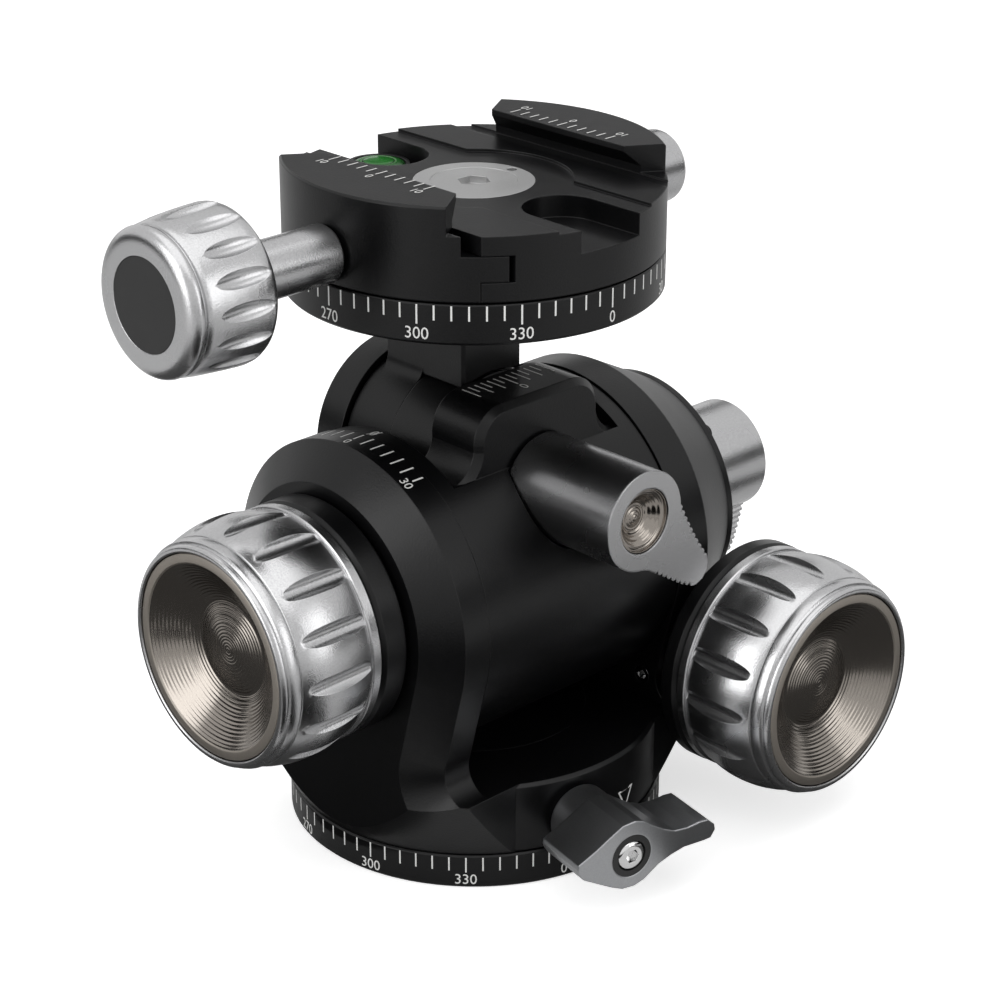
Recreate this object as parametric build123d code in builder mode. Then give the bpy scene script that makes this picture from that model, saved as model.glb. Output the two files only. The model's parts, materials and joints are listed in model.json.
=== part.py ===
from build123d import *
import os
from math import cos, pi, radians, sin, sqrt

os.makedirs("parts", exist_ok=True)

# Geared tripod head, millimetres, +Z up, origin at the centre of the underside.
# The pan axis is Z. The fore-and-aft tilt turns about X (axis A), the sideways
# tilt about Y (axis B). -X is the side of the sideways tilt knob, -Y the front.

# fits
SEAT = 0.02          # fixed fit, radial
RUN = 0.05           # running fit, radial
TIP = 0.15           # worm thread to wheel
FACE_GAP = 0.2       # between turning faces
KNOB_GAP = 0.3       # between a knob and its collar

# screws
M2_R = 1.0
M2_HEAD_R = 1.9
M2_HEAD_H = 1.05
M25_R = 1.25
M25_HEAD_R = 2.25
M25_HEAD_H = 1.4
M3_R = 1.5
M3_HEAD_R = 2.4

# base
BASE_R = 30.2
BASE_TOP = 5.7
BOSS_R = 12.0
BOSS_TOP = BASE_TOP + 7.5
BUSH_R = 7.5
BUSH_HEAD_R = 8.6
BUSH_HEAD_Z = BOSS_TOP - 2.0
THREAD_R = 3.97
RETAINER_R = 15.0
RETAINER_TOP = BOSS_TOP + 1.8
RETAINER_SCREW_PCR = 10.3
RETAINER_SCREW_L = 5.0

# yoke
YOKE_BOTTOM = BASE_TOP + FACE_GAP
COVER_R = 17.9
COVER_Z = RETAINER_TOP + 0.4
FLOOR_Z = COVER_Z + 2.0
CONE_LOW_R = 30.0
CONE_HIGH_R = 36.7
CONE_HIGH_Z = FLOOR_Z + 1.5
DRUM_R = 29.7
FLOOR_EDGE = 0.5
FOOT_Y = 25.3
WASHER_IN_R = 14.0
WASHER_OUT_R = 20.0
WASHER_H = 0.95
LEVER_STEM_R = 2.2
LEVER_HUB_R = 4.0
LEVER_HUB_START = 24.0
GRUB_R = 1.5
GRUB_Y = -18.0
GRUB_Z = FLOOR_Z + 3.7

# tilting barrel and its axes
BARREL_R = 25.5
BARREL_LEFT = -21.1
BARREL_RIGHT = 20.0
A_Z = FLOOR_Z + 0.6 + BARREL_R
WORM_A_DROP = 18.7
WORM_B_DROP = 16.9
B_Z = A_Z + WORM_B_DROP
WORM_A_Z = A_Z - WORM_A_DROP
PAN_LEVER_Z = YOKE_BOTTOM + 4.7
PAN_LEVER_TURN = -12.0

# uprights, from the barrel outwards
UPRIGHT_R = BARREL_R + 0.3
UPRIGHT_FALL = -15.0
LEFT_IN_X = BARREL_LEFT - FACE_GAP
LEFT_RIM_X = LEFT_IN_X - 5.1
LEFT_OUT_X = LEFT_RIM_X - 4.2
LEFT_BEVEL = 5.6
RIGHT_IN_X = BARREL_RIGHT + FACE_GAP
RIGHT_RIM_X = RIGHT_IN_X + 6.2
RIGHT_LEDGE_X = RIGHT_RIM_X + 4.2
RIGHT_LEDGE_Z = FLOOR_Z - 1.8
LEFT_BEARING_R = 17.0
RIGHT_BEARING_R = 14.0

# worm gears
WORM_A_TIP_R = 3.9
WORM_A_SHAFT_R = 2.5
WHEEL_A_HALF = 3.0
WHEEL_A_TEETH = 40
WORM_B_TIP_R = 4.7
WORM_B_SHAFT_R = 3.0
WHEEL_B_HALF = 3.4
WHEEL_B_TEETH = 30
WORM_HALF = 8.6
WORM_PITCH = 2.4
TOOTH_SLOT_W = 1.0
TOOTH_SLOT_D = 1.0
WHEEL_A_R = WORM_A_DROP - sqrt((WORM_A_TIP_R + TIP) ** 2 - WHEEL_A_HALF ** 2)

# right gear case
CASE_R = UPRIGHT_R
CASE_WALL_X = RIGHT_RIM_X + 3.1
CASE_END_X = RIGHT_RIM_X + 11.4
CASE_COVER_X = CASE_END_X + 2.0
CASE_COVER_EDGE = 0.8
WORM_A_X = CASE_WALL_X + 3.5
CASE_CAVITY_R = WHEEL_A_R + 0.62
COVER_SCREW_R = 0.8
COVER_SCREW_HEAD_R = 1.4
COVER_SCREW_PCR = CASE_CAVITY_R + 1.7
CASE_END_R = COVER_SCREW_PCR + 1.7
CASE_SCREW_PCR = CASE_CAVITY_R - 1.0
CASE_SCREW_ANGLES = (10, 90, 170)
CASE_SCREW_SINK = M2_HEAD_H + 0.05
CASE_SCREW_L = 4.0
WORM_BOSS_R = 9.0
WORM_BOSS_BACK = 20.0
WORM_BORE_R = 4.6
WORM_BORE_BACK = WORM_BOSS_BACK - 2.5
WORM_BUSH_L = 5.5
COLLAR_R = 18.6
COLLAR_EDGE = 0.6
WORM_COLLAR_BACK = -27.0
WORM_COLLAR_FRONT = WORM_COLLAR_BACK - 3.3
WORM_BOSS_FRONT = WORM_COLLAR_BACK + 0.1
LEFT_COLLAR_IN = LEFT_OUT_X - 0.4
LEFT_COLLAR_OUT = LEFT_COLLAR_IN - 4.9

# tilt body
CHEEK = 3.0
WELL_Z = B_Z + 3.6
BLOCK_TOP = B_Z + 14.3
BLOCK_FRONT = -14.6
BLOCK_BACK = -4.4
BLOCK_TOP_HALF = 7.5
BLOCK_HALF = 13.0
BLOCK_CORNER = BLOCK_HALF - BLOCK_TOP_HALF
BLOCK_FLARE_HALF = BLOCK_HALF + 3.8
BLOCK_FLARE_Z = WELL_Z + 4.2
BLOCK_EDGE = 1.1
MID_R = 14.6
MID_BACK = 4.8
WHEEL_R = 14.4
WHEEL_FRONT = MID_BACK + FACE_GAP
WHEEL_BACK = 14.2
WHEEL_SLOT_R = WHEEL_R + 0.35
GEAR_CAVITY_R = 12.9
GEAR_CAVITY_FRONT = -3.6
PLATE_R = 15.2
PLATE_FRONT = WHEEL_BACK + 0.4
PLATE_TONGUE_HALF = 12.0
PLATE_TONGUE_Z = A_Z - 11.5
PLATE_TONGUE_Y = PLATE_FRONT + 2.4
PLATE_BACK = PLATE_TONGUE_Y + 3.0
PLATE_SCREW_X = 8.5
PLATE_SCREW_Z = A_Z - 7.0
PIN_R = 3.0
PIN_HEAD_R = 4.5
PIN_HEAD_Y = PLATE_BACK - 3.0
LEVER_POCKET_Y = BLOCK_FRONT - 0.2
WORM_B_BORE_R = 5.0
WORM_B_BORE_END = 16.0
WORM_B_BUSH_X = WORM_B_BORE_END - 4.0
LEFT_PIVOT_R = 14.0
LEFT_PIVOT_NECK_R = 11.0
LEFT_PIVOT_BORE_R = 6.0
LEFT_PIVOT_ROOT = BARREL_LEFT + 3.1
LEFT_PIVOT_END = LEFT_COLLAR_OUT + 0.5
RIGHT_PIVOT_R = 10.0
RIGHT_PIVOT_NECK_R = 8.0
RIGHT_PIVOT_ROOT = BARREL_RIGHT - 3.0
RIGHT_PIVOT_STEP = CASE_WALL_X + 0.3
RIGHT_PIVOT_END = CASE_END_X - 0.8

# tilt knobs, stations from the front face
KNOB_LENGTH = 17.7
KNOB_BEAD_R = 17.1
KNOB_BAND_R = 17.75
KNOB_BARREL_R = 19.15
KNOB_BARREL_END_R = 18.1
KNOB_FLANGE_R = 18.5
KNOB_FLANGE_W = 1.6
KNOB_INSERT_R = 16.0
KNOB_INSERT_SET = 0.26
KNOB_INSERT_DEPTH = 6.5
KNOB_FLUTES = 16
KNOB_FLUTE_R = 1.6
KNOB_FLUTE_SINK = 1.1
KNOB_FLUTE_FALL = 0.45
LEFT_KNOB_FACE = LEFT_COLLAR_OUT - KNOB_GAP - KNOB_LENGTH
RIGHT_KNOB_FACE = WORM_COLLAR_FRONT - KNOB_GAP - KNOB_LENGTH

# neck and turntable
NECK_HALF = 6.2
NECK_FRONT = -4.1
NECK_BACK = 13.5
NECK_TOP = B_Z + 28.5
NECK_ARCH_R = MID_R + 0.3
NECK_FILLET = 3.5
NECK_EDGE = 0.5
NECK_SHOULDER = 6.0
HUB_B_R = 6.0
TURN_R = 29.0
TURN_TOP = NECK_TOP + 6.2
SPINDLE_FLANGE_R = 10.0
SPINDLE_FLANGE_Z = TURN_TOP - 3.0
SPINDLE_R = 7.5
NECK_SCREW_X = 4.2
NECK_SCREW_Y = (4.6, 10.4)
NECK_SCREW_HEAD_Z = NECK_TOP + 1.5
RING_R = 9.2
CENTRE_SCREW_R = 3.0
CENTRE_HEAD_R = 6.6

# clamp
CLAMP_BOTTOM = TURN_TOP + FACE_GAP
CENTRE_FLOOR_Z = CLAMP_BOTTOM + 9.4
PAD_Z = CENTRE_FLOOR_Z + 0.45
JAW_TOP = PAD_Z + 4.25
SPINDLE_TOP = CENTRE_FLOOR_Z - 1.85
FIXED_LIP_X = 17.4
MOVING_LIP_X = -17.0
LIP_H = 0.9
UNDERCUT = 2.3
RELIEF_D = 0.3
STRIP_HALF = 9.5
DISC_R = 15.0
SPLIT_X = MOVING_LIP_X - UNDERCUT + 0.1
SPLIT_GAP = 0.12
NOTCH_X = SPLIT_X - 2.1
TONGUE_Z = CLAMP_BOTTOM + 3.0
TONGUE_H = 4.0
TONGUE_X = SPLIT_X + 3.1
TONGUE_SLOT_X = TONGUE_X + 0.8
JAW_IN_END_Y = 14.2
FIXED_OUT_END = (22.65, 17.5)
MOVING_OUT_END = (-22.7, 18.1)
JAW_EDGE = 0.3
SLOT_Y = 18.7
SLOT_R = 6.0
SLOT_Z = CLAMP_BOTTOM + 6.0
CLAMP_SCREW_Z = CLAMP_BOTTOM + 4.7
CLAMP_SCREW_R = 2.5
CLAMP_SCREW_END = -9.5
CLAMP_KNOB_FACE = -61.9
CLAMP_KNOB_BACK = -47.2
CLAMP_KNOB_FRONT_R = 10.9
CLAMP_KNOB_BACK_R = 11.8
CLAMP_KNOB_DISC_R = 6.83
CLAMP_SLEEVE_R = 4.4
CLAMP_SLEEVE_END = -TURN_R - 0.4
CLAMP_FLUTES = 16
CLAMP_FLUTE_HALF = 1.6
GUIDE_R = 1.5
GUIDE_Y = 8.0
GUIDE_Z = TONGUE_Z + TONGUE_H / 2
GUIDE_START = SPLIT_X - 6.8
GUIDE_END = TONGUE_SLOT_X + 4.3
LEVEL_Y = 21.5
LEVEL_CUP_R = 4.9
LEVEL_VIAL_R = 4.3
LEVEL_CUP_TOP = SLOT_Z + 1.5
LEVEL_VIAL_TOP = LEVEL_CUP_TOP + 0.4
LOCK_Z = CLAMP_BOTTOM + 3.3
LOCK_R = 5.9
LOCK_EDGE = 1.2
LOCK_START = TURN_R + 0.6
LOCK_END = LOCK_START + 11.9
LOCK_STEM_R = 2.5

# lock levers
FRONT_LEVER_R = 7.85
LEVER_POCKET_R = FRONT_LEVER_R + 0.35
FRONT_LEVER_ROOT = LEVER_POCKET_Y - 0.3
FRONT_LEVER_FACE = FRONT_LEVER_ROOT - 21.3
PIN_START = FRONT_LEVER_FACE + 6.4
LEVER_INSERT_R = 5.1
HORN_T = 6.5
HORN_UPPER = ((6.45, 3.7), (7.5, 1.4))
HORN_UPPER_TEETH = ((7.5, 1.4), (9.4, -2.4), (11.6, -6.2), (14.0, -9.6))
HORN_TIP = ((14.4, -11.0), (14.2, -12.4), (13.2, -13.6), (11.9, -14.1), (11.0, -14.1))
HORN_LOWER_TEETH = ((11.0, -14.1), (8.4, -12.9), (5.6, -11.2), (2.6, -9.3))
HORN_LOWER = ((1.0, -8.3), (-1.8, -7.4), (-5.3, -5.6))
HORN_TOOTH = 1.25
HORN_TOOTH_D = 0.45
REAR_HORN_TURN = -45.0
REAR_LEVER_R = 9.4
REAR_LEVER_ROOT = CASE_COVER_X + KNOB_GAP
REAR_LEVER_FACE = REAR_LEVER_ROOT + 19.4
REAR_INSERT_R = 6.4
BOLT_A_R = 3.0
BOLT_A_START = RIGHT_PIVOT_ROOT + 4.0
BOLT_A_END = REAR_LEVER_FACE - 7.5

# pan lever
PAN_HUB_R = 5.2
PAN_HUB_START = 30.6
PAN_WING_START = 35.3
PAN_WING_END = 45.0
PAN_WING = (
    (-9.7, 0.4), (-9.6, 1.2), (-6.4, 2.8), (-4.0, 4.25), (-1.6, 5.6), (0.6, 5.8), (2.1, 5.3),
    (3.8, 4.1), (5.9, 2.75), (7.9, 1.9), (10.4, 1.7), (12.6, 2.0), (14.1, 1.9), (15.3, 0.8),
    (15.5, -0.2), (14.7, -1.4), (13.5, -1.5), (9.7, -1.5), (7.3, -2.1), (5.0, -3.0),
    (2.4, -4.8), (0.6, -5.4), (-1.6, -5.3), (-3.8, -4.3), (-8.7, -1.5), (-9.4, -0.5),
)
PAN_RING_R = 3.5
PAN_SCREW_HEAD_R = 2.5
PAN_SCREW_R = 1.5

# planes whose normal runs along an axis
Z_PLANE = Plane.XY
A_PLANE = Plane(origin=(0, 0, A_Z), x_dir=(0, 1, 0), z_dir=(1, 0, 0))
B_PLANE = Plane(origin=(0, 0, B_Z), x_dir=(-1, 0, 0), z_dir=(0, 1, 0))
WORM_PLANE = Plane(origin=(WORM_A_X, 0, WORM_A_Z), x_dir=(-1, 0, 0), z_dir=(0, 1, 0))
CLAMP_PLANE = Plane(origin=(0, 0, CLAMP_SCREW_Z), x_dir=(0, 1, 0), z_dir=(1, 0, 0))
LOCK_PLANE = Plane(origin=(0, 0, LOCK_Z), x_dir=(0, 1, 0), z_dir=(1, 0, 0))
LEVER_U = (cos(radians(PAN_LEVER_TURN)), sin(radians(PAN_LEVER_TURN)), 0)
LEVER_OUT = (sin(radians(PAN_LEVER_TURN)), -cos(radians(PAN_LEVER_TURN)), 0)
LEVER_PLANE = Plane(origin=(0, 0, PAN_LEVER_Z), x_dir=LEVER_U, z_dir=LEVER_OUT)

# planes whose first direction runs along an axis
Z_TURN = Plane(origin=(0, 0, 0), x_dir=(0, 0, 1), z_dir=(0, 1, 0))
A_TURN = Plane(origin=(0, 0, A_Z), x_dir=(1, 0, 0), z_dir=(0, -1, 0))
B_TURN = Plane(origin=(0, 0, B_Z), x_dir=(0, 1, 0), z_dir=(1, 0, 0))
WORM_TURN = Plane(origin=(WORM_A_X, 0, WORM_A_Z), x_dir=(0, 1, 0), z_dir=(1, 0, 0))
CLAMP_TURN = Plane(origin=(0, 0, CLAMP_SCREW_Z), x_dir=(1, 0, 0), z_dir=(0, -1, 0))
GUIDE_PLANES = [
    Plane(origin=(0, side * GUIDE_Y, GUIDE_Z), x_dir=(0, 1, 0), z_dir=(1, 0, 0)) for side in (-1, 1)
]
CASE_SCREW_SPOTS = [
    (CASE_SCREW_PCR * cos(radians(angle)), CASE_SCREW_PCR * sin(radians(angle)))
    for angle in CASE_SCREW_ANGLES
]


def turn(plane, outline, mode=Mode.ADD):
    """Turn an outline of (along, radius) points about the plane's first direction."""
    with BuildSketch(plane) as section:
        with BuildLine():
            Polyline(*outline, close=True)
        make_face()
    revolve(section.sketch, axis=Axis(plane.origin, plane.x_dir), mode=mode)


def rod(plane, radius, start, end, mode=Mode.ADD, at=(0, 0)):
    """Round bar along the plane's normal between two stations."""
    with BuildSketch(plane.offset(start)) as section:
        with Locations(at):
            Circle(radius)
    extrude(section.sketch, amount=end - start, mode=mode)


def tube(plane, outer, inner, start, end, mode=Mode.ADD):
    """Round tube along the plane's normal between two stations."""
    with BuildSketch(plane.offset(start)) as section:
        Circle(outer)
        Circle(inner, mode=Mode.SUBTRACT)
    extrude(section.sketch, amount=end - start, mode=mode)


def hexagon(plane, across, start, end, at=(0, 0)):
    """Hexagon socket between two stations."""
    with BuildSketch(plane.offset(start)) as section:
        with Locations(at):
            RegularPolygon(across / 2, 6, major_radius=False)
    extrude(section.sketch, amount=end - start, mode=Mode.SUBTRACT)


def save(piece, name):
    """Label a finished piece and write it."""
    piece.part.label = name
    export_step(piece.part, "parts/" + name + ".step")


# ---------------------------------------------------------------- base
with BuildPart() as pan_base:
    turn(Z_TURN, (
        (0, BUSH_R + SEAT), (0, 20), (0.6, 20), (0.6, 27), (0, 27), (0, BASE_R - 0.4), (0.4, BASE_R),
        (BASE_TOP - 0.3, BASE_R), (BASE_TOP, BASE_R - 0.3), (BASE_TOP, BOSS_R), (BOSS_TOP, BOSS_R),
        (BOSS_TOP, BUSH_HEAD_R + SEAT), (BUSH_HEAD_Z, BUSH_HEAD_R + SEAT), (BUSH_HEAD_Z, BUSH_R + SEAT),
    ))
    with BuildSketch(Z_PLANE.offset(BOSS_TOP - RETAINER_SCREW_L - 0.2)):
        with PolarLocations(RETAINER_SCREW_PCR, 3):
            Circle(M2_R + SEAT)
    extrude(amount=RETAINER_SCREW_L + 0.2, mode=Mode.SUBTRACT)
save(pan_base, "pan_base")

with BuildPart() as tripod_bush:
    turn(Z_TURN, (
        (0, THREAD_R), (0, BUSH_R), (BUSH_HEAD_Z, BUSH_R), (BUSH_HEAD_Z, BUSH_HEAD_R),
        (BOSS_TOP - 0.1, BUSH_HEAD_R), (BOSS_TOP - 0.1, THREAD_R),
    ))
save(tripod_bush, "tripod_bush")

with BuildPart() as pan_retainer:
    rod(Z_PLANE, RETAINER_R, BOSS_TOP, RETAINER_TOP)
    with BuildSketch(Z_PLANE.offset(BOSS_TOP)):
        with PolarLocations(RETAINER_SCREW_PCR, 3):
            Circle(M2_R + SEAT)
    extrude(amount=RETAINER_TOP - BOSS_TOP, mode=Mode.SUBTRACT)
    with BuildSketch(Z_PLANE.offset(RETAINER_TOP - M2_HEAD_H)):
        with PolarLocations(RETAINER_SCREW_PCR, 3):
            Circle(M2_HEAD_R + SEAT)
    extrude(amount=M2_HEAD_H, mode=Mode.SUBTRACT)
save(pan_retainer, "pan_retainer")

with BuildPart() as retainer_screws:
    with BuildSketch(Z_PLANE.offset(BOSS_TOP - RETAINER_SCREW_L)):
        with PolarLocations(RETAINER_SCREW_PCR, 3):
            Circle(M2_R)
    extrude(amount=RETAINER_TOP - M2_HEAD_H - BOSS_TOP + RETAINER_SCREW_L)
    with BuildSketch(Z_PLANE.offset(RETAINER_TOP - M2_HEAD_H)):
        with PolarLocations(RETAINER_SCREW_PCR, 3):
            Circle(M2_HEAD_R)
    extrude(amount=M2_HEAD_H - 0.05)
    with BuildSketch(Z_PLANE.offset(RETAINER_TOP - 0.6)):
        with PolarLocations(RETAINER_SCREW_PCR, 3):
            RegularPolygon(0.75, 6, major_radius=False)
    extrude(amount=0.6, mode=Mode.SUBTRACT)
save(retainer_screws, "retainer_screws")


# ---------------------------------------------------------------- yoke
def upright_face(x, inset):
    """Side outline of an upright: disc, falling flanks and a hollow foot curve."""
    nx = cos(radians(UPRIGHT_FALL))
    nz = sin(radians(UPRIGHT_FALL))
    foot_r = ((FOOT_Y - UPRIGHT_R * nx) * nx + (FLOOR_Z - A_Z - UPRIGHT_R * nz) * nz) / (1 - nz)
    foot_z = FLOOR_Z + foot_r - A_Z
    disc_r = UPRIGHT_R - inset
    hollow_r = foot_r + inset
    flank = (disc_r * nx, disc_r * nz)
    toe = (FOOT_Y - hollow_r * nx, foot_z - hollow_r * nz)
    mid = radians(217.5)
    sag = (FOOT_Y + hollow_r * cos(mid), foot_z + hollow_r * sin(mid))
    end = (FOOT_Y, foot_z - hollow_r)
    low = (FOOT_Y, YOKE_BOTTOM - A_Z)
    with BuildSketch(A_PLANE.offset(x)) as face:
        with BuildLine():
            ThreePointArc(flank, (0, disc_r), (-flank[0], flank[1]))
            Line((-flank[0], flank[1]), (-toe[0], toe[1]))
            ThreePointArc((-toe[0], toe[1]), (-sag[0], sag[1]), (-end[0], end[1]))
            Line((-end[0], end[1]), (-low[0], low[1]))
            Line((-low[0], low[1]), low)
            Line(low, end)
            ThreePointArc(end, sag, toe)
            Line(toe, flank)
        make_face()
    return face.sketch


with BuildPart() as yoke:
    extrude(upright_face(LEFT_RIM_X, 0), amount=LEFT_IN_X - LEFT_RIM_X)
    loft([upright_face(LEFT_OUT_X, LEFT_BEVEL), upright_face(LEFT_RIM_X, 0)], ruled=True)
    extrude(upright_face(RIGHT_IN_X, 0), amount=RIGHT_RIM_X - RIGHT_IN_X)
    with BuildSketch(Z_PLANE.offset(YOKE_BOTTOM)):
        with Locations(((LEFT_RIM_X + RIGHT_RIM_X) / 2, 0)):
            Rectangle(RIGHT_RIM_X - LEFT_RIM_X, 2 * FOOT_Y)
    extrude(amount=FLOOR_Z - YOKE_BOTTOM)
    with BuildSketch(Z_PLANE.offset(YOKE_BOTTOM)):
        with Locations((RIGHT_LEDGE_X - 5, 0)):
            Rectangle(10, 2 * FOOT_Y)
    extrude(amount=RIGHT_LEDGE_Z - YOKE_BOTTOM)
    turn(Z_TURN, (
        (YOKE_BOTTOM, 0), (YOKE_BOTTOM, CONE_LOW_R), (CONE_HIGH_Z, CONE_HIGH_R),
        (CONE_HIGH_Z, 2 * CONE_HIGH_R), (B_Z + BARREL_R, 2 * CONE_HIGH_R), (B_Z + BARREL_R, 0),
    ), mode=Mode.INTERSECT)
    turn(Z_TURN, (
        (YOKE_BOTTOM, 0), (YOKE_BOTTOM, DRUM_R), (FLOOR_Z - FLOOR_EDGE, DRUM_R),
        (FLOOR_Z, DRUM_R - FLOOR_EDGE), (FLOOR_Z, 0),
    ))
    with BuildSketch(Z_PLANE.offset(RIGHT_LEDGE_Z)):
        with Locations((RIGHT_RIM_X + 5, 0)):
            Rectangle(10, 80)
    extrude(amount=10, mode=Mode.SUBTRACT)
    rod(Z_PLANE, COVER_R + SEAT, COVER_Z, FLOOR_Z, mode=Mode.SUBTRACT)
    rod(Z_PLANE, RETAINER_R + 0.4, BOSS_TOP - 0.1, COVER_Z, mode=Mode.SUBTRACT)
    rod(Z_PLANE, BOSS_R + RUN, YOKE_BOTTOM, BOSS_TOP, mode=Mode.SUBTRACT)
    tube(Z_PLANE, WASHER_OUT_R + 0.1, WASHER_IN_R - 0.1, YOKE_BOTTOM, BASE_TOP + WASHER_H + 0.1,
         mode=Mode.SUBTRACT)
    rod(A_PLANE, LEFT_BEARING_R + SEAT, LEFT_OUT_X - 1, LEFT_IN_X + 1, mode=Mode.SUBTRACT)
    rod(A_PLANE, RIGHT_BEARING_R + SEAT, RIGHT_IN_X - 1, RIGHT_RIM_X + 1, mode=Mode.SUBTRACT)
    rod(LEVER_PLANE, LEVER_STEM_R + RUN, BOSS_R - 1, LEVER_HUB_START + 1, mode=Mode.SUBTRACT)
    rod(LEVER_PLANE, LEVER_HUB_R + RUN, LEVER_HUB_START, CONE_HIGH_R, mode=Mode.SUBTRACT)
    spot = (GRUB_Y, GRUB_Z - A_Z)
    rod(A_PLANE, GRUB_R + SEAT, RIGHT_IN_X - 1, RIGHT_IN_X + 4.5, mode=Mode.SUBTRACT, at=spot)
    screw_start = RIGHT_RIM_X - CASE_SCREW_L - 0.2
    for spot in CASE_SCREW_SPOTS:
        rod(A_PLANE, M2_R + SEAT, screw_start, RIGHT_RIM_X + 1, mode=Mode.SUBTRACT, at=spot)
save(yoke, "yoke")

with BuildPart() as floor_cover:
    rod(Z_PLANE, COVER_R, COVER_Z, FLOOR_Z)
save(floor_cover, "floor_cover")

with BuildPart() as pan_washer:
    tube(Z_PLANE, WASHER_OUT_R, WASHER_IN_R, BASE_TOP + SEAT, BASE_TOP + WASHER_H)
save(pan_washer, "pan_washer")

with BuildPart() as pan_brake_shoe:
    rod(LEVER_PLANE, LEVER_STEM_R, BOSS_R + 0.3, BOSS_R + 3.6)
save(pan_brake_shoe, "pan_brake_shoe")

with BuildPart() as left_bearing:
    tube(A_PLANE, LEFT_BEARING_R, LEFT_PIVOT_R + RUN, LEFT_OUT_X + 0.2, LEFT_IN_X - 0.1)
save(left_bearing, "left_bearing")

with BuildPart() as right_bearing:
    tube(A_PLANE, RIGHT_BEARING_R, RIGHT_PIVOT_R + RUN, RIGHT_IN_X + 0.1, RIGHT_RIM_X)
save(right_bearing, "right_bearing")

with BuildPart() as grub_screw:
    rod(A_PLANE, GRUB_R, RIGHT_IN_X, RIGHT_IN_X + 4.2, at=(GRUB_Y, GRUB_Z - A_Z))
    hexagon(A_PLANE, 1.5, RIGHT_IN_X, RIGHT_IN_X + 1.4, at=(GRUB_Y, GRUB_Z - A_Z))
save(grub_screw, "grub_screw")

with BuildPart() as gear_housing:
    turn(A_TURN, ((RIGHT_RIM_X, 0), (RIGHT_RIM_X, CASE_R), (CASE_END_X, CASE_END_R), (CASE_END_X, 0)))
    rod(WORM_PLANE, WORM_BOSS_R, WORM_BOSS_FRONT, WORM_BOSS_BACK)
    with BuildSketch(Z_PLANE):
        with Locations((RIGHT_RIM_X - 10, 0)):
            Rectangle(20, 80)
    extrude(amount=80, mode=Mode.SUBTRACT)
    with BuildSketch(Z_PLANE):
        with Locations((RIGHT_RIM_X, 0)):
            Rectangle(40, 80)
    extrude(amount=RIGHT_LEDGE_Z, mode=Mode.SUBTRACT)
    rod(A_PLANE, CASE_END_R + 0.05, CASE_END_X, CASE_END_X + 8, mode=Mode.SUBTRACT)
    rod(A_PLANE, CASE_CAVITY_R, CASE_WALL_X, CASE_END_X, mode=Mode.SUBTRACT)
    rod(A_PLANE, RIGHT_PIVOT_R + 0.3, RIGHT_RIM_X, CASE_WALL_X, mode=Mode.SUBTRACT)
    rod(WORM_PLANE, WORM_BORE_R + SEAT, WORM_BOSS_FRONT, WORM_BORE_BACK, mode=Mode.SUBTRACT)
    with BuildSketch(A_PLANE.offset(CASE_END_X - 4)):
        with PolarLocations(COVER_SCREW_PCR, 4, start_angle=45):
            Circle(COVER_SCREW_R + SEAT)
    extrude(amount=4, mode=Mode.SUBTRACT)
    for spot in CASE_SCREW_SPOTS:
        rod(A_PLANE, M2_R + SEAT, RIGHT_RIM_X, CASE_END_X, mode=Mode.SUBTRACT, at=spot)
        rod(A_PLANE, M2_HEAD_R + 0.1, CASE_WALL_X - CASE_SCREW_SINK, CASE_END_X, mode=Mode.SUBTRACT, at=spot)
save(gear_housing, "gear_housing")

with BuildPart() as housing_screws:
    for spot in CASE_SCREW_SPOTS:
        rod(A_PLANE, M2_R, RIGHT_RIM_X - CASE_SCREW_L, CASE_WALL_X - CASE_SCREW_SINK, at=spot)
        rod(A_PLANE, M2_HEAD_R, CASE_WALL_X - CASE_SCREW_SINK, CASE_WALL_X - 0.05, at=spot)
        hexagon(A_PLANE, 1.5, CASE_WALL_X - 0.65, CASE_WALL_X, at=spot)
save(housing_screws, "housing_screws")

with BuildPart() as gear_cover:
    turn(A_TURN, (
        (CASE_END_X, BOLT_A_R + 0.3), (CASE_END_X, CASE_END_R),
        (CASE_COVER_X - CASE_COVER_EDGE, CASE_END_R), (CASE_COVER_X, CASE_END_R - CASE_COVER_EDGE),
        (CASE_COVER_X, BOLT_A_R + 0.3),
    ))
    with BuildSketch(A_PLANE.offset(CASE_END_X)):
        with PolarLocations(COVER_SCREW_PCR, 4, start_angle=45):
            Circle(COVER_SCREW_R + SEAT)
    extrude(amount=3, mode=Mode.SUBTRACT)
    with BuildSketch(A_PLANE.offset(CASE_COVER_X - 1.1)):
        with PolarLocations(COVER_SCREW_PCR, 4, start_angle=45):
            Circle(COVER_SCREW_HEAD_R + SEAT)
    extrude(amount=1.1, mode=Mode.SUBTRACT)
save(gear_cover, "gear_cover")

with BuildPart() as cover_screws:
    with BuildSketch(A_PLANE.offset(CASE_END_X - 3.8)):
        with PolarLocations(COVER_SCREW_PCR, 4, start_angle=45):
            Circle(COVER_SCREW_R)
    extrude(amount=CASE_COVER_X - 1.1 - CASE_END_X + 3.8)
    with BuildSketch(A_PLANE.offset(CASE_COVER_X - 1.1)):
        with PolarLocations(COVER_SCREW_PCR, 4, start_angle=45):
            Circle(COVER_SCREW_HEAD_R)
    extrude(amount=1.0)
    with BuildSketch(A_PLANE.offset(CASE_COVER_X - 0.7)):
        with PolarLocations(COVER_SCREW_PCR, 4, start_angle=45):
            RegularPolygon(0.65, 6, major_radius=False)
    extrude(amount=0.7, mode=Mode.SUBTRACT)
save(cover_screws, "cover_screws")

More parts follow.
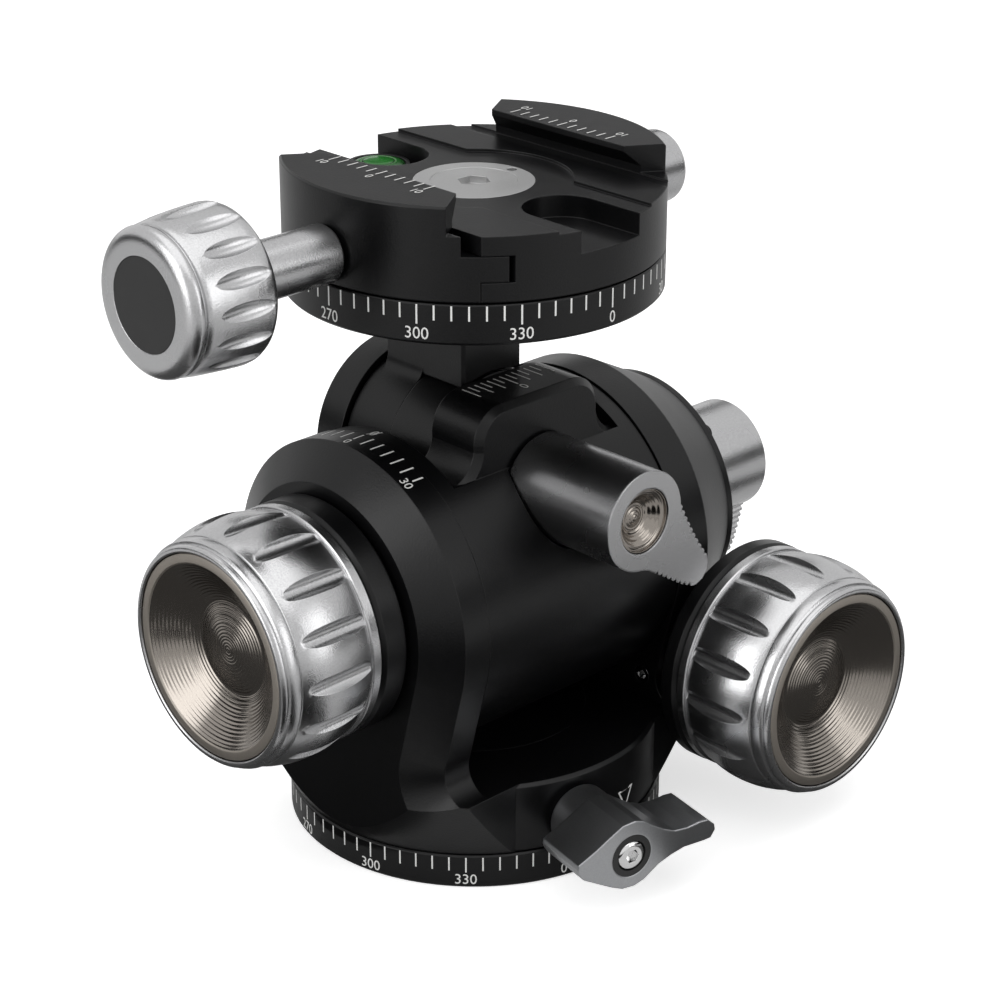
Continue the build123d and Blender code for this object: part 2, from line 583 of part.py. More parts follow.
with BuildPart() as worm_collar_right:
    turn(WORM_TURN, (
        (WORM_COLLAR_BACK, WORM_BORE_R + SEAT), (WORM_COLLAR_BACK, COLLAR_R - COLLAR_EDGE),
        (WORM_COLLAR_BACK - COLLAR_EDGE, COLLAR_R), (WORM_COLLAR_FRONT + COLLAR_EDGE, COLLAR_R),
        (WORM_COLLAR_FRONT, COLLAR_R - COLLAR_EDGE), (WORM_COLLAR_FRONT, WORM_BORE_R + SEAT),
    ))
save(worm_collar_right, "worm_collar_right")

with BuildPart() as worm_a_bushes:
    bore_r = WORM_A_SHAFT_R + RUN
    tube(WORM_PLANE, WORM_BORE_R, bore_r, WORM_COLLAR_FRONT + 0.1, WORM_COLLAR_FRONT + 2 * WORM_BUSH_L)
    tube(WORM_PLANE, WORM_BORE_R, bore_r, WORM_BORE_BACK - WORM_BUSH_L, WORM_BORE_BACK)
save(worm_a_bushes, "worm_a_bushes")

# ---------------------------------------------------------------- pan lever
with BuildPart() as pan_lever:
    with BuildSketch(LEVER_PLANE.offset(PAN_WING_START)):
        with BuildLine():
            Polyline(*PAN_WING, close=True)
        make_face()
    extrude(amount=PAN_WING_END - PAN_WING_START)
    rod(LEVER_PLANE, PAN_HUB_R, PAN_HUB_START, PAN_WING_START + 1)
    rod(LEVER_PLANE, LEVER_HUB_R, LEVER_HUB_START + 0.3, PAN_HUB_START)
    rod(LEVER_PLANE, LEVER_STEM_R + SEAT, LEVER_HUB_START, PAN_WING_START - 2.3, mode=Mode.SUBTRACT)
    rod(LEVER_PLANE, PAN_SCREW_R + SEAT, PAN_WING_START - 2.3, PAN_WING_END, mode=Mode.SUBTRACT)
    rod(LEVER_PLANE, PAN_RING_R + SEAT, PAN_WING_END - 1.6, PAN_WING_END, mode=Mode.SUBTRACT)
save(pan_lever, "pan_lever")

with BuildPart() as pan_lever_stud:
    rod(LEVER_PLANE, LEVER_STEM_R, BOSS_R + 3.8, PAN_WING_START - 2.5)
save(pan_lever_stud, "pan_lever_stud")

with BuildPart() as pan_lever_ring:
    tube(LEVER_PLANE, PAN_RING_R, PAN_SCREW_HEAD_R + SEAT, PAN_WING_END - 1.6, PAN_WING_END)
save(pan_lever_ring, "pan_lever_ring")

with BuildPart() as pan_lever_screw:
    rod(LEVER_PLANE, PAN_SCREW_R, PAN_WING_START - 2.1, PAN_WING_END - 1.6)
    rod(LEVER_PLANE, PAN_SCREW_HEAD_R, PAN_WING_END - 1.6, PAN_WING_END + 0.2)
    head_edges = pan_lever_screw.edges().filter_by(GeomType.CIRCLE).group_by(SortBy.RADIUS)[-1]
    fillet(head_edges.sort_by(Axis(LEVER_PLANE.origin, LEVER_OUT))[-1], radius=0.9)
    hexagon(LEVER_PLANE, 2.0, PAN_WING_END - 1.0, PAN_WING_END + 0.3)
save(pan_lever_screw, "pan_lever_screw")

# ---------------------------------------------------------------- tilt body
def block_face(y):
    """Front outline of the scale block: flat top, round shoulders, hollow flares at the foot."""
    low = WELL_Z - 6 - B_Z
    knee = BLOCK_FLARE_Z - B_Z
    shelf = WELL_Z - B_Z
    crown = BLOCK_TOP - B_Z
    bend = (BLOCK_HALF - BLOCK_CORNER * (1 - sqrt(0.5)), crown - BLOCK_CORNER * (1 - sqrt(0.5)))
    hollow = (BLOCK_HALF + 1.25, shelf + 1.55)
    with BuildSketch(B_PLANE.offset(y)) as face:
        with BuildLine():
            Line((-BLOCK_FLARE_HALF, low), (BLOCK_FLARE_HALF, low))
            Line((BLOCK_FLARE_HALF, low), (BLOCK_FLARE_HALF, shelf))
            ThreePointArc((BLOCK_FLARE_HALF, shelf), hollow, (BLOCK_HALF, knee))
            Line((BLOCK_HALF, knee), (BLOCK_HALF, crown - BLOCK_CORNER))
            ThreePointArc((BLOCK_HALF, crown - BLOCK_CORNER), bend, (BLOCK_TOP_HALF, crown))
            Line((BLOCK_TOP_HALF, crown), (-BLOCK_TOP_HALF, crown))
            ThreePointArc(
                (-BLOCK_TOP_HALF, crown), (-bend[0], bend[1]), (-BLOCK_HALF, crown - BLOCK_CORNER)
            )
            Line((-BLOCK_HALF, crown - BLOCK_CORNER), (-BLOCK_HALF, knee))
            ThreePointArc((-BLOCK_HALF, knee), (-hollow[0], hollow[1]), (-BLOCK_FLARE_HALF, shelf))
            Line((-BLOCK_FLARE_HALF, shelf), (-BLOCK_FLARE_HALF, low))
        make_face()
    return face.sketch


with BuildPart() as tilt_body:
    rod(A_PLANE, BARREL_R, BARREL_LEFT, BARREL_RIGHT)
    with BuildSketch(Z_PLANE.offset(WELL_Z)):
        with Locations(((BARREL_LEFT + BARREL_RIGHT) / 2, BLOCK_FRONT + 20)):
            Rectangle(BARREL_RIGHT - BARREL_LEFT - 2 * CHEEK, 40)
    extrude(amount=20, mode=Mode.SUBTRACT)
    extrude(block_face(BLOCK_FRONT + BLOCK_EDGE), amount=BLOCK_BACK - BLOCK_FRONT - BLOCK_EDGE)
    extrude(block_face(BLOCK_FRONT + BLOCK_EDGE), amount=-BLOCK_EDGE, taper=45)
    rod(B_PLANE, MID_R, BLOCK_BACK, MID_BACK)
    rod(B_PLANE, GEAR_CAVITY_R, GEAR_CAVITY_FRONT, MID_BACK, mode=Mode.SUBTRACT)
    rod(B_PLANE, WHEEL_SLOT_R, MID_BACK, PLATE_FRONT, mode=Mode.SUBTRACT)
    rod(B_PLANE, PLATE_R + SEAT, PLATE_FRONT, BARREL_R + 1, mode=Mode.SUBTRACT)
    with BuildSketch(Z_PLANE.offset(PLATE_TONGUE_Z - SEAT)):
        with Locations((0, PLATE_TONGUE_Y + 5)):
            Rectangle(2 * (PLATE_TONGUE_HALF + SEAT), 10)
    extrude(amount=B_Z - PLATE_TONGUE_Z, mode=Mode.SUBTRACT)
    for side in (-1, 1):
        rod(B_PLANE, M25_R + SEAT, PLATE_TONGUE_Y - 6.5, PLATE_TONGUE_Y, mode=Mode.SUBTRACT,
            at=(side * PLATE_SCREW_X, PLATE_SCREW_Z - B_Z))
    rod(B_PLANE, LEVER_POCKET_R, -BARREL_R - 1, LEVER_POCKET_Y, mode=Mode.SUBTRACT)
    rod(B_PLANE, PIN_R + SEAT, LEVER_POCKET_Y, GEAR_CAVITY_FRONT, mode=Mode.SUBTRACT)
    rod(A_PLANE, WORM_B_BORE_R + SEAT, BARREL_LEFT, WORM_B_BORE_END, mode=Mode.SUBTRACT)
    rod(A_PLANE, LEFT_PIVOT_R + SEAT, BARREL_LEFT, LEFT_PIVOT_ROOT, mode=Mode.SUBTRACT)
    rod(A_PLANE, RIGHT_PIVOT_R + SEAT, RIGHT_PIVOT_ROOT, BARREL_RIGHT, mode=Mode.SUBTRACT)
save(tilt_body, "tilt_body")

with BuildPart() as back_plate:
    rod(B_PLANE, PLATE_R, PLATE_FRONT, PLATE_BACK)
    with BuildSketch(Z_PLANE.offset(PLATE_TONGUE_Z)):
        with Locations((0, (PLATE_TONGUE_Y + PLATE_BACK) / 2)):
            Rectangle(2 * PLATE_TONGUE_HALF, PLATE_BACK - PLATE_TONGUE_Y)
    extrude(amount=B_Z - PLATE_TONGUE_Z)
    rod(B_PLANE, PIN_R + SEAT, PLATE_FRONT, PLATE_BACK, mode=Mode.SUBTRACT)
    rod(B_PLANE, PIN_HEAD_R + SEAT, PIN_HEAD_Y, PLATE_BACK, mode=Mode.SUBTRACT)
    for side in (-1, 1):
        spot = (side * PLATE_SCREW_X, PLATE_SCREW_Z - B_Z)
        rod(B_PLANE, M25_R + SEAT, PLATE_TONGUE_Y, PLATE_BACK, mode=Mode.SUBTRACT, at=spot)
        rod(B_PLANE, M25_HEAD_R + SEAT, PLATE_BACK - M25_HEAD_H, PLATE_BACK, mode=Mode.SUBTRACT, at=spot)
save(back_plate, "back_plate")

with BuildPart() as back_plate_screws:
    for side in (-1, 1):
        spot = (side * PLATE_SCREW_X, PLATE_SCREW_Z - B_Z)
        rod(B_PLANE, M25_R, PLATE_TONGUE_Y - 6.2, PLATE_BACK - M25_HEAD_H, at=spot)
        rod(B_PLANE, M25_HEAD_R, PLATE_BACK - M25_HEAD_H, PLATE_BACK - 0.1, at=spot)
        hexagon(B_PLANE, 1.9, PLATE_BACK - 1.0, PLATE_BACK, at=spot)
save(back_plate_screws, "back_plate_screws")

with BuildPart() as tilt_pin:
    rod(B_PLANE, PIN_R, PIN_START, PIN_HEAD_Y)
    rod(B_PLANE, PIN_HEAD_R, PIN_HEAD_Y, PLATE_BACK - 0.4)
    with BuildSketch(B_PLANE.offset(PLATE_BACK - 1.3)):
        Rectangle(2 * PIN_HEAD_R, 1.1)
    extrude(amount=2, mode=Mode.SUBTRACT)
save(tilt_pin, "tilt_pin")

with BuildPart() as left_pivot:
    rod(A_PLANE, LEFT_PIVOT_R, LEFT_COLLAR_IN, LEFT_PIVOT_ROOT)
    rod(A_PLANE, LEFT_PIVOT_NECK_R, LEFT_PIVOT_END, LEFT_COLLAR_IN)
    rod(A_PLANE, LEFT_PIVOT_BORE_R, LEFT_PIVOT_END, LEFT_PIVOT_ROOT, mode=Mode.SUBTRACT)
save(left_pivot, "left_pivot")

with BuildPart() as left_collar:
    turn(A_TURN, (
        (LEFT_COLLAR_IN, LEFT_PIVOT_NECK_R + SEAT), (LEFT_COLLAR_IN, COLLAR_R - COLLAR_EDGE),
        (LEFT_COLLAR_IN - COLLAR_EDGE, COLLAR_R), (LEFT_COLLAR_OUT + COLLAR_EDGE, COLLAR_R),
        (LEFT_COLLAR_OUT, COLLAR_R - COLLAR_EDGE), (LEFT_COLLAR_OUT, LEFT_PIVOT_NECK_R + SEAT),
    ))
save(left_collar, "left_collar")

with BuildPart() as worm_b_bushes:
    tube(A_PLANE, LEFT_PIVOT_BORE_R - SEAT, WORM_B_SHAFT_R + RUN, LEFT_PIVOT_END, LEFT_PIVOT_END + 8)
    tube(A_PLANE, WORM_B_BORE_R, WORM_B_SHAFT_R + RUN, WORM_B_BUSH_X, WORM_B_BORE_END - 0.3)
save(worm_b_bushes, "worm_b_bushes")

with BuildPart() as right_pivot:
    rod(A_PLANE, RIGHT_PIVOT_R, RIGHT_PIVOT_ROOT, RIGHT_PIVOT_STEP)
    rod(A_PLANE, RIGHT_PIVOT_NECK_R, RIGHT_PIVOT_STEP, RIGHT_PIVOT_END)
    rod(A_PLANE, BOLT_A_R + SEAT, BOLT_A_START - 0.5, RIGHT_PIVOT_END, mode=Mode.SUBTRACT)
save(right_pivot, "right_pivot")

with BuildPart() as clamp_bolt_a:
    rod(A_PLANE, BOLT_A_R, BOLT_A_START, BOLT_A_END)
save(clamp_bolt_a, "clamp_bolt_a")

with BuildPart() as worm_wheel_a:
    hollow = WORM_A_TIP_R + TIP
    edge_r = WHEEL_A_R
    left = WORM_A_X - WHEEL_A_HALF
    right = WORM_A_X + WHEEL_A_HALF
    with BuildSketch(A_TURN) as rim_a:
        with BuildLine():
            Line((left, RIGHT_PIVOT_NECK_R + SEAT), (left, edge_r))
            ThreePointArc((left, edge_r), (WORM_A_X, WORM_A_DROP - hollow), (right, edge_r))
            Line((right, edge_r), (right, RIGHT_PIVOT_NECK_R + SEAT))
            Line((right, RIGHT_PIVOT_NECK_R + SEAT), (left, RIGHT_PIVOT_NECK_R + SEAT))
        make_face()
    revolve(axis=Axis(A_TURN.origin, A_TURN.x_dir))
    with BuildSketch(A_PLANE.offset(left)):
        with PolarLocations(edge_r, WHEEL_A_TEETH):
            Rectangle(2 * (edge_r - WORM_A_DROP + hollow + TOOTH_SLOT_D), TOOTH_SLOT_W)
    extrude(amount=2 * WHEEL_A_HALF, mode=Mode.SUBTRACT)
save(worm_wheel_a, "worm_wheel_a")

# ---------------------------------------------------------------- neck
with BuildPart() as neck:
    with BuildSketch(Z_PLANE.offset(B_Z + 5)) as post:
        with Locations((0, (NECK_FRONT + NECK_BACK) / 2)):
            Rectangle(2 * NECK_HALF, NECK_BACK - NECK_FRONT)
        chamfer(post.vertices(), length=NECK_EDGE)
    extrude(amount=NECK_TOP - B_Z - 5)
    rod(B_PLANE, NECK_ARCH_R, NECK_FRONT - 1, WHEEL_FRONT, mode=Mode.SUBTRACT)
    with BuildSketch(B_PLANE.offset(WHEEL_FRONT)) as shoulder:
        Circle(WHEEL_R)
        with Locations((0, WHEEL_R)):
            Rectangle(2 * NECK_HALF, 2 * NECK_SHOULDER)
        fillet(shoulder.vertices().group_by(Axis.Z)[0], radius=NECK_FILLET)
    extrude(amount=NECK_BACK - WHEEL_FRONT - NECK_EDGE)
    rod(B_PLANE, WHEEL_R, WHEEL_FRONT, WHEEL_BACK)
    rod(B_PLANE, HUB_B_R, GEAR_CAVITY_FRONT + 0.2, WHEEL_FRONT)
    rod(B_PLANE, PIN_R + RUN, GEAR_CAVITY_FRONT, WHEEL_BACK, mode=Mode.SUBTRACT)
    for side in (-1, 1):
        for spot in NECK_SCREW_Y:
            rod(Z_PLANE, M3_R + SEAT, NECK_TOP - 8, NECK_TOP, mode=Mode.SUBTRACT,
                at=(side * NECK_SCREW_X, spot))
    rod(Z_PLANE, CENTRE_SCREW_R + SEAT, NECK_TOP - 9, NECK_TOP, mode=Mode.SUBTRACT)
save(neck, "neck")

with BuildPart() as worm_wheel_b:
    hollow = WORM_B_TIP_R + TIP + 0.05
    edge_r = WORM_B_DROP - sqrt(hollow ** 2 - WHEEL_B_HALF ** 2) - 0.9
    rim_half = WHEEL_B_HALF - 0.9
    with BuildSketch(B_TURN) as rim_b:
        with BuildLine():
            Line((-WHEEL_B_HALF, HUB_B_R + SEAT), (-WHEEL_B_HALF, edge_r))
            Line((-WHEEL_B_HALF, edge_r), (-rim_half, edge_r))
            ThreePointArc((-rim_half, edge_r), (0, WORM_B_DROP - hollow), (rim_half, edge_r))
            Line((rim_half, edge_r), (WHEEL_B_HALF, edge_r))
            Line((WHEEL_B_HALF, edge_r), (WHEEL_B_HALF, HUB_B_R + SEAT))
            Line((WHEEL_B_HALF, HUB_B_R + SEAT), (-WHEEL_B_HALF, HUB_B_R + SEAT))
        make_face()
    revolve(axis=Axis(B_TURN.origin, B_TURN.x_dir))
    with BuildSketch(B_PLANE.offset(-WHEEL_B_HALF)):
        with PolarLocations(WORM_B_DROP - hollow, WHEEL_B_TEETH):
            Rectangle(2 * TOOTH_SLOT_D, TOOTH_SLOT_W)
    extrude(amount=2 * WHEEL_B_HALF, mode=Mode.SUBTRACT)
save(worm_wheel_b, "worm_wheel_b")

with BuildPart() as top_scale_ring:
    rod(Z_PLANE, TURN_R, NECK_TOP, TURN_TOP)
    chamfer(top_scale_ring.edges().sort_by(Axis.Z)[0], length=0.4)
    chamfer(top_scale_ring.edges().sort_by(Axis.Z)[-1], length=0.2)
    rod(Z_PLANE, SPINDLE_FLANGE_R + SEAT, SPINDLE_FLANGE_Z, TURN_TOP, mode=Mode.SUBTRACT)
    rod(Z_PLANE, CENTRE_SCREW_R + SEAT, NECK_TOP, TURN_TOP, mode=Mode.SUBTRACT)
    for side in (-1, 1):
        for place in NECK_SCREW_Y:
            spot = (side * NECK_SCREW_X, place)
            rod(Z_PLANE, M3_R + SEAT, NECK_TOP, TURN_TOP, mode=Mode.SUBTRACT, at=spot)
            rod(Z_PLANE, M3_HEAD_R + SEAT, NECK_SCREW_HEAD_Z, TURN_TOP, mode=Mode.SUBTRACT, at=spot)
save(top_scale_ring, "top_scale_ring")

with BuildPart() as neck_screws:
    for side in (-1, 1):
        for place in NECK_SCREW_Y:
            spot = (side * NECK_SCREW_X, place)
            rod(Z_PLANE, M3_R, NECK_TOP - 7.5, NECK_SCREW_HEAD_Z, at=spot)
            rod(Z_PLANE, M3_HEAD_R, NECK_SCREW_HEAD_Z, SPINDLE_FLANGE_Z - 0.1, at=spot)
            hexagon(Z_PLANE, 2.0, SPINDLE_FLANGE_Z - 1.0, SPINDLE_FLANGE_Z, at=spot)
save(neck_screws, "neck_screws")

with BuildPart() as top_spindle:
    rod(Z_PLANE, SPINDLE_FLANGE_R, SPINDLE_FLANGE_Z, TURN_TOP)
    rod(Z_PLANE, SPINDLE_R, TURN_TOP, SPINDLE_TOP)
    rod(Z_PLANE, CENTRE_SCREW_R + SEAT, SPINDLE_FLANGE_Z, SPINDLE_TOP, mode=Mode.SUBTRACT)
save(top_spindle, "top_spindle")

with BuildPart() as centre_ring:
    rod(Z_PLANE, RING_R, SPINDLE_TOP, CENTRE_FLOOR_Z)
    rod(Z_PLANE, CENTRE_SCREW_R + SEAT, SPINDLE_TOP, CENTRE_FLOOR_Z, mode=Mode.SUBTRACT)
    rod(Z_PLANE, CENTRE_HEAD_R + SEAT, SPINDLE_TOP + 0.35, CENTRE_FLOOR_Z, mode=Mode.SUBTRACT)
    rod(Z_PLANE, 0.8, CENTRE_FLOOR_Z - 1.2, CENTRE_FLOOR_Z, mode=Mode.SUBTRACT, at=(8.0, 0))
save(centre_ring, "centre_ring")

with BuildPart() as centre_screw:
    rod(Z_PLANE, CENTRE_SCREW_R, NECK_TOP - 8.5, SPINDLE_TOP + 0.35)
    rod(Z_PLANE, CENTRE_HEAD_R, SPINDLE_TOP + 0.35, CENTRE_FLOOR_Z - 0.05)
    hexagon(Z_PLANE, 4.5, SPINDLE_TOP + 0.6, CENTRE_FLOOR_Z)
save(centre_screw, "centre_screw")


# ---------------------------------------------------------------- clamp
def channel_face(lip_x, side, floor_z):
    """Dovetail mouth section on one side: lip, undercut wall and floor."""
    lip_low = JAW_TOP - LIP_H
    deep_x = lip_x + side * UNDERCUT
    with BuildSketch(Plane(origin=(0, 2 * TURN_R, 0), x_dir=(1, 0, 0), z_dir=(0, -1, 0))) as face:
        with BuildLine():
            Polyline(
                (lip_x - side * TURN_R, JAW_TOP + 1), (lip_x, JAW_TOP + 1), (lip_x, lip_low),
                (deep_x, lip_low - UNDERCUT), (deep_x, floor_z), (lip_x - side * TURN_R, floor_z), close=True,
            )
        make_face()
    return face.sketch


def jaw_end(lip_x, out_end, side):
    """Corner cut beyond one end of a jaw."""
    outward = 1 if lip_x > 0 else -1
    slope = (out_end[1] - JAW_IN_END_Y) / (out_end[0] - lip_x)
    far_x = lip_x + outward * 20
    far_y = JAW_IN_END_Y + slope * (far_x - lip_x)
    near_x = lip_x - outward * 20
    with BuildSketch(Z_PLANE.offset(PAD_Z)) as face:
        with BuildLine():
            Polyline(
                (near_x, side * JAW_IN_END_Y), (lip_x, side * JAW_IN_END_Y), (far_x, side * far_y),
                (far_x, side * 40), (near_x, side * 40), close=True,
            )
        make_face()
    return face.sketch


def across(low_x, high_x, low_z, high_z, mode=Mode.SUBTRACT):
    """Slab across the whole clamp between two x stations and two heights."""
    with BuildSketch(Z_PLANE.offset(low_z)) as slab:
        with Locations(((low_x + high_x) / 2, 0)):
            Rectangle(high_x - low_x, 4 * TURN_R)
    extrude(slab.sketch, amount=high_z - low_z, mode=mode)


CLAMP_DISC = (
    (CLAMP_BOTTOM, 0), (CLAMP_BOTTOM, TURN_R - 0.2), (CLAMP_BOTTOM + 0.2, TURN_R),
    (JAW_TOP - JAW_EDGE, TURN_R), (JAW_TOP, TURN_R - JAW_EDGE), (JAW_TOP, 0),
)

with BuildPart() as clamp_body:
    turn(Z_TURN, CLAMP_DISC)
    extrude(channel_face(FIXED_LIP_X, 1, PAD_Z), amount=4 * TURN_R, mode=Mode.SUBTRACT)
    for side in (-1, 1):
        extrude(jaw_end(FIXED_LIP_X, FIXED_OUT_END, side), amount=JAW_TOP - PAD_Z + 1, mode=Mode.SUBTRACT)
    across(-2 * TURN_R, SPLIT_X, CLAMP_BOTTOM - 1, JAW_TOP + 1)
    across(-2 * TURN_R, TONGUE_SLOT_X, TONGUE_Z, TONGUE_Z + TONGUE_H)
    across(-2 * TURN_R, 0, PAD_Z, JAW_TOP + 1)
    across(FIXED_LIP_X - 0.2, FIXED_LIP_X + UNDERCUT, PAD_Z - RELIEF_D, PAD_Z)
    with BuildSketch(Z_PLANE.offset(CENTRE_FLOOR_Z)):
        Rectangle(2 * STRIP_HALF, 4 * TURN_R)
        Circle(DISC_R)
    extrude(amount=PAD_Z - CENTRE_FLOOR_Z, mode=Mode.SUBTRACT)
    for side in (-1, 1):
        with BuildSketch(Z_PLANE.offset(SLOT_Z)):
            with Locations((0, side * SLOT_Y)):
                Circle(SLOT_R)
            with Locations((0, side * (SLOT_Y + TURN_R / 2))):
                Rectangle(2 * SLOT_R, TURN_R)
        extrude(amount=CENTRE_FLOOR_Z - SLOT_Z, mode=Mode.SUBTRACT)
    rod(Z_PLANE, SPINDLE_R + RUN, CLAMP_BOTTOM, CENTRE_FLOOR_Z, mode=Mode.SUBTRACT)
    rod(Z_PLANE, RING_R + RUN, SPINDLE_TOP - 0.1, CENTRE_FLOOR_Z, mode=Mode.SUBTRACT)
    rod(CLAMP_PLANE, CLAMP_SCREW_R + RUN, SPLIT_X - 1, CLAMP_SCREW_END + 0.8, mode=Mode.SUBTRACT)
    rod(LOCK_PLANE, LOCK_STEM_R + RUN, 0, TURN_R + 1, mode=Mode.SUBTRACT)
    for plane in GUIDE_PLANES:
        rod(plane, GUIDE_R + SEAT, TONGUE_SLOT_X - 0.1, GUIDE_END + 0.1, mode=Mode.SUBTRACT)
save(clamp_body, "clamp_body")

with BuildPart() as moving_jaw:
    turn(Z_TURN, CLAMP_DISC)
    across(SPLIT_X - SPLIT_GAP, 2 * TURN_R, CLAMP_BOTTOM - 1, TONGUE_Z + SPLIT_GAP)
    across(TONGUE_X, 2 * TURN_R, TONGUE_Z, TONGUE_Z + TONGUE_H)
    across(NOTCH_X, 2 * TURN_R, TONGUE_Z + TONGUE_H - SPLIT_GAP, PAD_Z)
    across(0, 2 * TURN_R, PAD_Z, JAW_TOP + 1)
    extrude(channel_face(MOVING_LIP_X, -1, PAD_Z), amount=4 * TURN_R, mode=Mode.SUBTRACT)
    for side in (-1, 1):
        extrude(jaw_end(MOVING_LIP_X, MOVING_OUT_END, side), amount=JAW_TOP - PAD_Z + 1, mode=Mode.SUBTRACT)
    rod(CLAMP_PLANE, CLAMP_SCREW_R + RUN, -2 * TURN_R, 0, mode=Mode.SUBTRACT)
    for plane in GUIDE_PLANES:
        rod(plane, GUIDE_R + RUN, GUIDE_START - 0.4, TONGUE_X + 1, mode=Mode.SUBTRACT)
save(moving_jaw, "moving_jaw")

with BuildPart() as guide_pins:
    for plane in GUIDE_PLANES:
        rod(plane, GUIDE_R, GUIDE_START, GUIDE_END)
save(guide_pins, "guide_pins")

with BuildPart() as top_brake_pad:
    rod(LOCK_PLANE, LOCK_STEM_R, SPINDLE_R + 0.3, SPINDLE_R + 3.2)
save(top_brake_pad, "top_brake_pad")

LEVEL_PLANE = Plane(origin=(0, LEVEL_Y, 0), x_dir=(1, 0, 0), z_dir=(0, 0, 1))
with BuildPart() as level_cup:
    rod(LEVEL_PLANE, LEVEL_CUP_R, SLOT_Z, LEVEL_CUP_TOP)
    rod(LEVEL_PLANE, LEVEL_VIAL_R + SEAT, SLOT_Z + 0.4, LEVEL_CUP_TOP, mode=Mode.SUBTRACT)
save(level_cup, "level_cup")

with BuildPart() as level_vial:
    rod(LEVEL_PLANE, LEVEL_VIAL_R, SLOT_Z + 0.4, LEVEL_VIAL_TOP)
    fillet(level_vial.edges().sort_by(Axis.Z)[-1], radius=0.4)
save(level_vial, "level_vial")

with BuildPart() as top_lock_knob:
    rod(LOCK_PLANE, LOCK_R, LOCK_START, LOCK_END)
    fillet(top_lock_knob.edges().filter_by(GeomType.CIRCLE), radius=LOCK_EDGE)
    rod(LOCK_PLANE, LOCK_STEM_R, SPINDLE_R + 3.4, LOCK_START + 0.5)
save(top_lock_knob, "top_lock_knob")

with BuildPart() as clamp_knob:
    turn(CLAMP_TURN, (
        (CLAMP_KNOB_FACE, 0), (CLAMP_KNOB_FACE, CLAMP_KNOB_FRONT_R - 1.6),
        (CLAMP_KNOB_FACE + 0.5, CLAMP_KNOB_FRONT_R - 0.5), (CLAMP_KNOB_FACE + 1.3, CLAMP_KNOB_FRONT_R),
        (CLAMP_KNOB_FACE + 2.0, CLAMP_KNOB_FRONT_R - 0.1), (CLAMP_KNOB_FACE + 2.4, CLAMP_KNOB_FRONT_R - 0.45),
        (CLAMP_KNOB_FACE + 3.0, CLAMP_KNOB_FRONT_R), (CLAMP_KNOB_BACK - 2.2, CLAMP_KNOB_BACK_R),
        (CLAMP_KNOB_BACK - 0.8, CLAMP_KNOB_BACK_R - 0.3), (CLAMP_KNOB_BACK, CLAMP_KNOB_BACK_R - 1.2),
        (CLAMP_KNOB_BACK, 0),
    ))
    rod(CLAMP_PLANE, CLAMP_SLEEVE_R, CLAMP_KNOB_BACK - 1, CLAMP_SLEEVE_END)
    front = (CLAMP_KNOB_FACE + 2.2, 0)
    middle = ((CLAMP_KNOB_FACE + CLAMP_KNOB_BACK) / 2, -CLAMP_FLUTE_HALF)
    back = (CLAMP_KNOB_BACK - 1.2, 0)
    with BuildPart(mode=Mode.PRIVATE) as clamp_flute:
        with BuildSketch(Plane(origin=(0, 0, CLAMP_SCREW_Z + CLAMP_KNOB_BACK_R + 0.5), x_dir=(1, 0, 0),
                               z_dir=(0, -1, 0))):
            with BuildLine():
                ThreePointArc(front, middle, back)
                Line(back, front)
            make_face()
        revolve(axis=Axis((0, 0, CLAMP_SCREW_Z + CLAMP_KNOB_BACK_R + 0.5), (1, 0, 0)))
    for index in range(CLAMP_FLUTES):
        add(clamp_flute.part.rotate(Axis(CLAMP_TURN.origin, (1, 0, 0)), index * 360 / CLAMP_FLUTES),
            mode=Mode.SUBTRACT)
    rod(CLAMP_PLANE, CLAMP_KNOB_DISC_R + SEAT, CLAMP_KNOB_FACE, CLAMP_KNOB_FACE + 0.8, mode=Mode.SUBTRACT)
    rod(CLAMP_PLANE, CLAMP_SCREW_R + SEAT, CLAMP_KNOB_FACE + 5, CLAMP_SLEEVE_END, mode=Mode.SUBTRACT)
save(clamp_knob, "clamp_knob")

with BuildPart() as clamp_knob_disc:
    rod(CLAMP_PLANE, CLAMP_KNOB_DISC_R, CLAMP_KNOB_FACE + 0.05, CLAMP_KNOB_FACE + 0.8)
save(clamp_knob_disc, "clamp_knob_disc")

with BuildPart() as clamp_screw:
    rod(CLAMP_PLANE, CLAMP_SCREW_R, CLAMP_KNOB_FACE + 5.2, CLAMP_SCREW_END)
save(clamp_screw, "clamp_screw")


# ---------------------------------------------------------------- lock levers
def serrated(path):
    """Points along a path with shallow round-bottomed teeth between even stations."""
    spans = [((b[0] - a[0]) ** 2 + (b[1] - a[1]) ** 2) ** 0.5 for a, b in zip(path, path[1:])]
    count = max(1, round(sum(spans) / HORN_TOOTH))
    points = []
    for index in range(3 * count + 1):
        reach = sum(spans) * index / (3 * count)
        leg = 0
        while leg < len(spans) - 1 and reach > spans[leg]:
            reach -= spans[leg]
            leg += 1
        a, b = path[leg], path[leg + 1]
        share = reach / spans[leg]
        dip = HORN_TOOTH_D / spans[leg] if index % 3 == 2 else 0
        run = (b[0] - a[0], b[1] - a[1])
        points.append((a[0] + run[0] * share + run[1] * dip, a[1] + run[1] * share - run[0] * dip))
    return points


HORN = list(HORN_UPPER[:-1]) + serrated(HORN_UPPER_TEETH) + list(HORN_TIP[:-1])
HORN += serrated(HORN_LOWER_TEETH) + list(HORN_LOWER)


